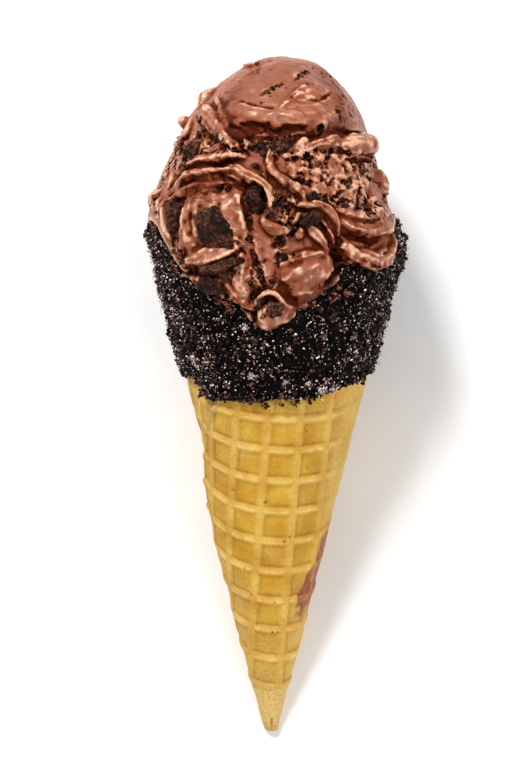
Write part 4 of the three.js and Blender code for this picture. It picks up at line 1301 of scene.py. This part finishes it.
def furrows():
    """The dark line under the lip, hollows and deep slots, the gap by the rim, and the fine
    creases and nicks of the dome."""
    hollow((-3, 209.8, 0.6), (17, 4, 3.4), turn=-3, blend=1.8, rough=0.4, seed=96)
    hollow((9, 209, 0.6), (14, 3.6, 3.2), turn=-2, blend=1.8, rough=0.4, seed=97)
    furrow([(-11, 213.6, 0.8), (-7.5, 212.3, 1), (-3.1, 211.6, 1), (0.8, 212.4, 0.8)], 0.8, 2.8,
           seed=81)
    furrow([(3, 211.8, 0.8), (7.6, 211.2, 1), (12.1, 210.6, 1.2), (16, 211.4, 1),
            (19, 214.6, 0.7)], 0.7, 2.4, blend=0.6, seed=94)
    furrow([(20.1, 209.8, 0.8), (25, 209.8, 0.9), (31, 209, 1)], 0.7, 3, seed=82)
    furrow([(23.6, 201.2, 1), (28.3, 201, 1.4), (33.4, 200.2, 2)], 0.8, 5, seed=83)
    furrow([(-25, 198, 1), (-17.9, 199, 1.2), (-11.5, 198.7, 1), (-7.2, 199, 0.6)], 0.6, 4,
           blend=0.4, seed=84)
    furrow([(-8, 194.2, 1.4), (-7.4, 189, 2), (-7, 184, 2), (-5.6, 178.4, 1.4)], 1.3, 7, seed=85)
    hollow((-3.6, 189, 1.2), (5.6, 11, 7), turn=8, blend=0.8, rough=0.8, seed=5)
    hollow((4, 188.6, 1), (5, 7, 5), turn=30, blend=0.8, rough=0.8, seed=6)
    hollow((-4.9, 198.8, 1.2), (4.6, 4, 4.4))
    hollow((2.2, 176, 1.2), (6, 4.4, 5.4), turn=20)
    hollow((3, 171.4, 1.2), (4.6, 3.4, 4.4), turn=20, rough=0.6, seed=7)
    furrow([(-6.6, 178, 1.2), (-5.2, 171.6, 1.4), (-3.2, 165.8, 0.8), (-1.8, 162, 0.6)], 1.2, 4.4,
           blend=0.7, ragged=0.5, seed=87)
    hollow((21, 169.4, -1), (5.6, 8.6, 15), turn=12, rough=0.3, seed=8)
    hollow((18.4, 164.4, -1), (4.6, 6, 13), turn=-34, rough=0.3, seed=9)
    hollow((24.4, 165.8, 0.4), (6, 6, 12), turn=-20)
    furrow([(-23.4, 206, 0.6), (-26.4, 202, 0.4), (-29.6, 197.6, 0.4), (-32.4, 192.6, 0.4)], 2.4,
           8.4, blend=0.6, ragged=0.6, seed=88)
    furrow([(-0.6, 227.8, 0.2), (-1.6, 226.2, 0.1), (-2.8, 224.4, 0.2)], 0.35, 1, blend=0.3,
           on_top=True, seed=98)
    hollow((14.8, 210.4, 0.8), (3, 4.6, 4.4), blend=0.5)
    hollow((18.8, 214.8, 0.8), (1.6, 3, 3), turn=-20, blend=0.4)
    hollow((23.8, 206, 1.6), (3, 1.6, 3), blend=0.4)
    furrow([(11, 228.6, 0.2), (9, 226.8, 0.1), (6.8, 225.2, 0.2)], 0.5, 1.2, blend=0.3,
           on_top=True, seed=89)
    furrow([(8.8, 228, 0.4), (7.4, 226.6, 0.4)], 0.35, 1, blend=0.3, seed=95)
    furrow([(3.8, 224.4, 0.2), (0.4, 222.8, 0.1), (-2.4, 220.6, 0.2)], 0.5, 1.2, blend=0.3,
           ragged=0.5, on_top=True, seed=90)
    furrow([(18.6, 221, 0.2), (15, 219, 0.1), (11.8, 218, 0.2)], 0.5, 1.3, blend=0.4, ragged=0.4,
           on_top=True, seed=91)
    furrow([(-15.6, 223, 0.6), (-17, 220.6, 0.6), (-18, 218.6, 0.6)], 0.6, 2.4, blend=0.4,
           seed=92)
    furrow([(-9.4, 218.2, 0.3), (-4.6, 217.4, 0.1), (0.6, 216.2, 0.3)], 0.5, 1.3, ragged=0.4,
           on_top=True, seed=105)
    furrow([(20.6, 226, 0.2), (23.8, 221.4, 0.1), (25.4, 217, 0.2)], 0.4, 1.1, blend=0.4,
           ragged=0.4, on_top=True, seed=106)


# Torn patches: the line they follow, their radius, depth, size of crumbs and seed.
TORN_PLACES = [
    ([(10, 200.6), (16, 199.6), (23, 198.6), (29, 196)], 8.5, 1.9, 2.6, 200),
    ([(11, 194), (19, 192), (26, 190), (32, 187)], 7.5, 1.9, 2.8, 210),
    ([(24, 187), (30, 187)], 4, 1.2, 2, 215),
    ([(21, 169.6), (25.4, 168.4)], 3.4, 0.8, 1.6, 218),
    ([(33.6, 203), (34, 198), (37, 189)], 4.4, 1.2, 2.2, 290),
    ([(-31, 206), (-33.6, 198), (-36, 192)], 4.6, 1.3, 2.2, 285),
    ([(-8, 178), (-6, 170), (-4, 161)], 6.5, 1.4, 2.2, 220),
    ([(-24, 206), (-18, 204.4), (-11, 204)], 5, 1.5, 2, 230),
    ([(-30, 174), (-29, 170), (-26, 166)], 5, 1.1, 2, 240),
    ([(-8, 205.4), (0, 204.8), (7, 203.6)], 4, 1.4, 2, 250),
    ([(-28, 208), (-30, 200)], 5, 1.1, 2, 255),
    ([(2, 190), (6, 186), (4, 176)], 5, 1.1, 1.8, 260),
    ([(-14, 158), (-6, 153)], 4.6, 1.1, 1.8, 265),
    ([(-22, 192.4), (-14, 191)], 3, 0.8, 1.6, 270),
    ([(-37, 190), (-35, 184)], 4, 0.9, 1.6, 280),
    ([(14.6, 217.6), (18, 215.4)], 3.4, 0.6, 1.3, 300),
    ([(26, 216.4), (26.6, 214)], 3, 0.5, 1.2, 310),
]


def bridges():
    """Where the lip still clings to the roll below it, over the dark line between them."""
    lump((1.8, 212.2, 0.5), (3, 4.4, 3), turn=14, blend=1.2, rough=0.5, seed=102)
    lump((12.4, 211.2, 0.5), (4, 3.6, 3), turn=-24, blend=1.2, rough=0.5, seed=103)
    fold([(-7, 209.8, -0.5), (-1, 209.2, -0.2), (5, 208.8, -0.5)], (0.6, 0.8), 2, blend=0.5,
         ragged=0.6, seed=107)
    fold([(4.6, 210.4, -0.5), (9, 209.8, -0.2), (14, 209.6, -0.5)], (0.6, 0.8), 2, blend=0.5,
         ragged=0.6, seed=108)


upper_scoop_folds()
left_folds()
middle_folds()
right_folds()
for torn_place in TORN_PLACES:
    torn(*torn_place)
lower_folds()
furrows()
bridges()


# How far round a spot the ice cream is looked at to find out whether it is on a crest.
CREST_REACH = 1.2
# How far out the surface is looked at for how open it is, with each distance's share.
OPEN_REACHES = {0.8: 0.28, 1.6: 0.27, 3.2: 0.27, 6.0: 0.18}


def openness(points, normals):
    """How open the surface is, from 0 deep in a fold to 1 on level ground, and how sharply it
    bulges there, from -1 in a crease to 1 on a crest."""
    level = sum(share * np.clip(clay.read(points + far * normals) / far, 0, 1)
                for far, share in OPEN_REACHES.items())
    around = sum(clay.read(points + sign * CREST_REACH * axis)
                 for axis in np.eye(3) for sign in (-1, 1))
    bulge = around / CREST_REACH**2
    return level, smoothstep(bulge, 0.1, 1) - smoothstep(-bulge, 0.1, 1.2)


def ice_cream():
    """Both scoops with a fine roughness on them: scraped lines, small pits and, in patches,
    creases. Returns the smoother surface under it, its painted light and shade, and how torn
    it is."""
    points, faces = clay.surface()
    normals = clay.normals(points)
    level, crest = openness(points, normals)
    rough = clay.read(points, clay.roughness)
    scraped = noise(points @ SCRAPE_TURN, (9, 0.8, 0.8), 304)
    pits = np.maximum(noise(points, 1.3, 305) + 0.25 * noise(points, 9, 306) - 0.6, 0)
    patchy = smoothstep(noise(points, 7, 308), -0.1, 0.4)
    creases = patchy * np.exp(-(noise(points @ SCRAPE_TURN, (5, 2.2, 2.2), 309) / 0.1)**2)
    # Painted light, kept in the open attribute: shade in folds, pits and creases and a highlight
    # on crests.
    light = 0.95 * level - 0.26 + 0.45 * crest
    light = light + 0.4 * rough * (light - 0.45) + 0.07 * scraped - 0.8 * pits
    light = np.maximum(light, 0.17 * (1 - rough)) - 0.3 * creases
    fine = 0.1 * noise(points, 1.6, 301) + (0.07 + 0.2 * rough) * noise(points, 0.9, 302)
    fine = fine + 0.12 * scraped - 0.9 * pits + 0.28 * noise(points, 5, 307) - 0.35 * creases
    light = np.clip(light, 0, 1)
    wet = smoothstep(noise(points, 6, 303) + 0.8 * crest, 0.1, 0.7) * (1 - 0.6 * rough)
    make_piece(
        "ice_cream", points + normals * fine[:, None], faces, ICE_CREAM, "ice_cream",
        replaces=["scoop_lower", "scoop_upper"], open=light, rough=rough, wet=wet,
    )
    return points, faces, light, rough


ice_points, ice_faces, ice_light, ice_rough = ice_cream()


# ---- Cookie in the ice cream -------------------------------------------------------------
BITS_PER_NICK = 8
STREWN_CRUMBS = 1900
# Nicks in the ice cream where broken bits of cookie lie: across, along and width.
NICKS = [
    (10.8, 228, 1.8), (9.8, 226.8, 1.6), (8.6, 225.8, 1.4), (-0.4, 221.4, 2.2), (1, 222.4, 1.3),
    (2.6, 223.3, 1.3), (3.8, 224, 1), (-2, 220.2, 0.9), (-1.6, 221.6, 0.7), (0.2, 220, 0.7),
    (-2.6, 218, 0.8), (-20.8, 213.2, 2), (-20.8, 210, 3.4), (-16, 208.8, 2), (-24, 203.6, 4),
    (-22.6, 206.2, 3), (-28.4, 197.6, 4.4), (-26.4, 199.6, 3), (-30.6, 194.6, 3), (3.2, 207.6, 4),
    (5.8, 206.6, 3), (-2.4, 205.2, 3), (-4.8, 205.4, 2.4), (0, 205.6, 2), (15.6, 210.6, 3.4),
    (17.2, 211.6, 2), (19, 215, 2), (13.4, 200.6, 2), (28.8, 197.6, 2.6), (30, 199, 2),
    (13, 190, 3.4), (15, 189, 2.4), (21.6, 186.6, 2.4), (11.4, 194.6, 2), (9.6, 196, 1.4),
    (4.8, 192.6, 2.4), (-2, 189.6, 4.4), (-1, 185.8, 3.4), (0.6, 187.6, 3), (-7.8, 188.6, 3),
    (-7.2, 184.4, 3), (5, 188.6, 2.4), (6.8, 190, 1.8), (3.4, 186.4, 2.4), (2.4, 183.8, 2.2),
    (4.4, 171.4, 3), (2.4, 170.4, 2.4), (6.6, 172.2, 2), (-3.4, 155.6, 1.8), (-2.2, 153.6, 1.5),
    (-3.8, 158, 2.4), (0.8, 163.6, 2.4), (-10.6, 167.4, 3), (-12, 165.6, 2.4), (-28, 170.6, 3),
    (-25.6, 169.4, 2.4), (-30.4, 172.4, 2.4), (-0.6, 159.6, 2.2), (24.6, 193.2, 1.8),
    (18, 196.6, 1.6), (20.6, 170, 5), (19.4, 166.6, 4.4), (22.6, 169.4, 4.4), (22.4, 166, 4),
    (33.4, 194, 1.6), (-14, 206.6, 1.6), (16.6, 183, 1.6), (-5, 199.6, 1.8), (19.4, 227.6, 0.9),
    (22, 220.4, 1.1), (13.6, 230.4, 0.8), (-4.2, 231.6, 1.2), (-9.6, 226, 0.7), (6.4, 219.4, 0.8),
]


def cookie_bits():
    """Broken bits at their own places, and crumbs strewn over the torn and hollow ground."""
    random = np.random.default_rng(350)
    across, along, width = np.array(NICKS).T
    places = settle(across, along)
    spots, normals = clumped(places, outward(places), 1.4 * width, BITS_PER_NICK, random)
    sizes = np.tile(width, BITS_PER_NICK) * random.uniform(0.35, 0.8, len(spots))
    scattered("cookie_bits", spots, normals, sizes, 0.6, COOKIE, "cookie", 351, rings=2)
    share = np.clip(0.45 - ice_light, 0, 1)**2 * (0.03 + ice_rough) + 0.015 * ice_rough
    share = share * smoothstep(noise(ice_points, 9, 354), -0.2, 0.3)
    weight = share[ice_faces].mean(1)
    spots, normals = pick_spots(ice_points, ice_faces, STREWN_CRUMBS, 352, weight)
    sizes = lerp(0.3, 1.5, random.random(STREWN_CRUMBS)**3)
    scattered("cookie_crumbs", spots, normals, sizes, 0.45, COOKIE, "cookie", 353)


cookie_bits()


BLOBS_PER_SMEAR = 9
CRUMBS_PER_SMEAR = 14
# Ice cream smeared on the coated rim: across, along, lift and width.
SMEARS = [
    (17.6, 159.4, 4.4, 2.4), (21.4, 160.4, 4.4, 2.6), (19.6, 162.4, 3.6, 2),
    (10.4, 156.6, 1.6, 2.2), (13, 157.2, 1.6, 2.6), (-13, 156.4, 1.2, 2),
    (-15.6, 157.6, 1.2, 2.4), (-12, 154.6, 1.2, 1.6), (-19, 160.4, 1, 1.8),
    (-23.9, 162.6, 1, 1.6), (-29.4, 167, 0.8, 1.8),
]


def smeared_rim():
    """Small blobs of ice cream rubbed onto the coated rim, with crumbs stuck in them."""
    random = np.random.default_rng(360)
    across, along, lift, width = np.array(SMEARS).T
    places = seat(across, along, lift)
    spots, normals = clumped(places, outward(places), 1.4 * width, BLOBS_PER_SMEAR, random)
    sizes = np.tile(width, BLOBS_PER_SMEAR) * random.uniform(0.25, 0.6, len(spots))
    scattered("rim_smears", spots, normals, sizes, 0.5, ICE_CREAM, "ice_cream", 361, rings=2,
              stretch=0.6, light=(0.3, 0.7))
    spots, normals = clumped(places, outward(places), 1.9 * width, CRUMBS_PER_SMEAR, random)
    sizes = random.uniform(0.4, 1.3, len(spots))
    scattered("rim_crumbs", spots, normals, sizes, 0.3, COOKIE, "cookie", 362)


smeared_rim()
crumb_coating()


# ---- Broken chunks -----------------------------------------------------------------------
CHUNK_FACES = 9
# Each chunk's place on the ice cream (azimuth, y, lift), its size (width, height, thickness)
# and its tilt in the surface.
CHUNKS = {
    "chunk_front_left": ((-24.8, 179.6, 0.6), (12.4, 12.4, 7), 12),
    "chunk_far_left": ((-47.5, 183.6, 0.6), (5.2, 10.4, 6), 6),
    "chunk_low_left": ((-21.4, 168.9, 1.2), (12.4, 4.6, 7), 14),
    "chunk_rim_left": ((-26.5, 162.8, 1.8), (8.6, 5, 6.4), -8),
    "chunk_left_hollow": ((-54, 203, -1.4), (5.6, 7.6, 5.4), -24),
    "chunk_under_lip": ((0, 205.6, -0.6), (12, 4.2, 6), 8),
    "chunk_middle": ((-7.4, 189, -0.4), (5.2, 7.6, 6), -10),
    "chunk_bean": ((18, 183.2, 2.2), (6.2, 4.2, 4.6), 6),
    "chunk_tongue": ((2, 155.4, 3.6), (4.6, 4.4, 4.4), 20),
}


def broken_chunk(name, place, size, tilt, seed):
    """A broken lump of cookie: a ball cut by planes that all face their own way, then drawn
    out to the chunk's size, with crumbly faces. It starts a little larger for the cuts."""
    azimuth, y, lift = place
    shape, faces = ball_shape(6)
    random = np.random.default_rng(seed)
    planes = unit(random.normal(size=(CHUNK_FACES, 3)))
    facing = np.maximum(shape @ planes.T, 0.05)
    reach = (random.uniform(0.7, 0.98, CHUNK_FACES) / facing).min(1)
    blocky = shape * np.minimum(reach, 1.2)[:, None]
    local = blocky * np.array(size) / 2 * 1.06
    round_axis = Matrix.Rotation(np.radians(azimuth), 3, "Y")
    turn = np.array(round_axis @ Matrix.Rotation(np.radians(tilt), 3, "Z"))
    radius, middle = form_at(y)
    points = local @ turn.T + polar(radius + lift, azimuth, y) + np.array([middle, 0, 0])
    crumbs = uneven(points, [(0.35, 1.5, seed + 2), (0.3, 0.8, seed + 3)])
    points = points + (shape @ turn.T) * crumbs[:, None]
    make_piece(
        name.replace("chunk", "cookie"), points, faces, COOKIE, "cookie", replaces=[name],
        baked=0.14 + 0.16 * noise(points, 3, seed + 4),
    )


for seed, (name, (place, size, tilt)) in enumerate(CHUNKS.items(), 400):
    broken_chunk(name, place, size, tilt, seed)


# ---- Studio ------------------------------------------------------------------------------
FLOOR_REACH = 3.0
LIGHTS_AIM = (0, -0.06, 0.04)
WORLD_STRENGTH = 0.46
# The camera stands in front of LOOK_AT, a point of the cone's own frame, a few degrees
# tilted towards the mouth and slightly rolled.
LOOK_AT = (-1.62, 126.69, 0)
CAMERA_DISTANCE = 750
CAMERA_TILT = 6.99
CAMERA_ROLL = 0.135
LENS = 105.9


def floor():
    """A flat sheet of paper that reaches far past the food on all sides."""
    mesh = bpy.data.meshes.new("floor")
    signs = ((-1, -1), (1, -1), (1, 1), (-1, 1))
    corners = [(x * FLOOR_REACH, y * FLOOR_REACH, 0) for x, y in signs]
    mesh.from_pydata(corners, [], [(0, 1, 2, 3)])
    mesh.materials.append(matte_paper())
    piece = bpy.data.objects.new("floor", mesh)
    bpy.context.collection.objects.link(piece)
    piece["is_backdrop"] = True


def soft_light(name, place, size, power):
    """A square soft box, size metres wide, that faces the food."""
    data = bpy.data.lights.new(name, "AREA")
    data.size = size
    data.energy = power
    lamp = bpy.data.objects.new(name, data)
    lamp.location = place
    lamp.rotation_euler = (Vector(LIGHTS_AIM) - Vector(place)).to_track_quat("-Z", "Y").to_euler()
    bpy.context.collection.objects.link(lamp)


def camera():
    """Looks at the lying cone from its own front, with its mouth at the top."""
    tilt, roll = np.radians(CAMERA_TILT), np.radians(CAMERA_ROLL)
    back = np.array([0, np.sin(tilt), np.cos(tilt)])
    up = np.array([0, np.cos(tilt), -np.sin(tilt)])
    right = np.array([1, 0, 0])
    up, right = (
        up * np.cos(roll) + right * np.sin(roll),
        right * np.cos(roll) - up * np.sin(roll),
    )
    data = bpy.data.cameras.new("camera")
    data.lens = LENS
    data.sensor_width = 36
    data.clip_start = 0.05
    view = bpy.data.objects.new("camera", data)
    axes = Matrix((TURN_DOWN @ np.stack([right, up, back], -1)).tolist())
    place = Matrix.Translation(lie_down(LOOK_AT + CAMERA_DISTANCE * back).tolist())
    view.matrix_world = place @ axes.to_4x4()
    bpy.context.collection.objects.link(view)
    bpy.context.scene.camera = view


floor()
soft_light("key", place=(-0.35, 0.5, 0.9), size=0.28, power=11)
soft_light("fill", place=(0.6, -0.5, 0.8), size=0.7, power=5)
camera()
world = bpy.data.worlds.new("studio")
world.use_nodes = True
world.node_tree.nodes["Background"].inputs["Color"].default_value = srgb("#FFFFFF")
world.node_tree.nodes["Background"].inputs["Strength"].default_value = WORLD_STRENGTH
bpy.context.scene.world = world
bpy.context.scene.view_settings.view_transform = "Standard"

sizes = {name: [list(corner) for corner in box] for name, box in
         (("cad", CAD_BOX), ("visual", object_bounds()))}
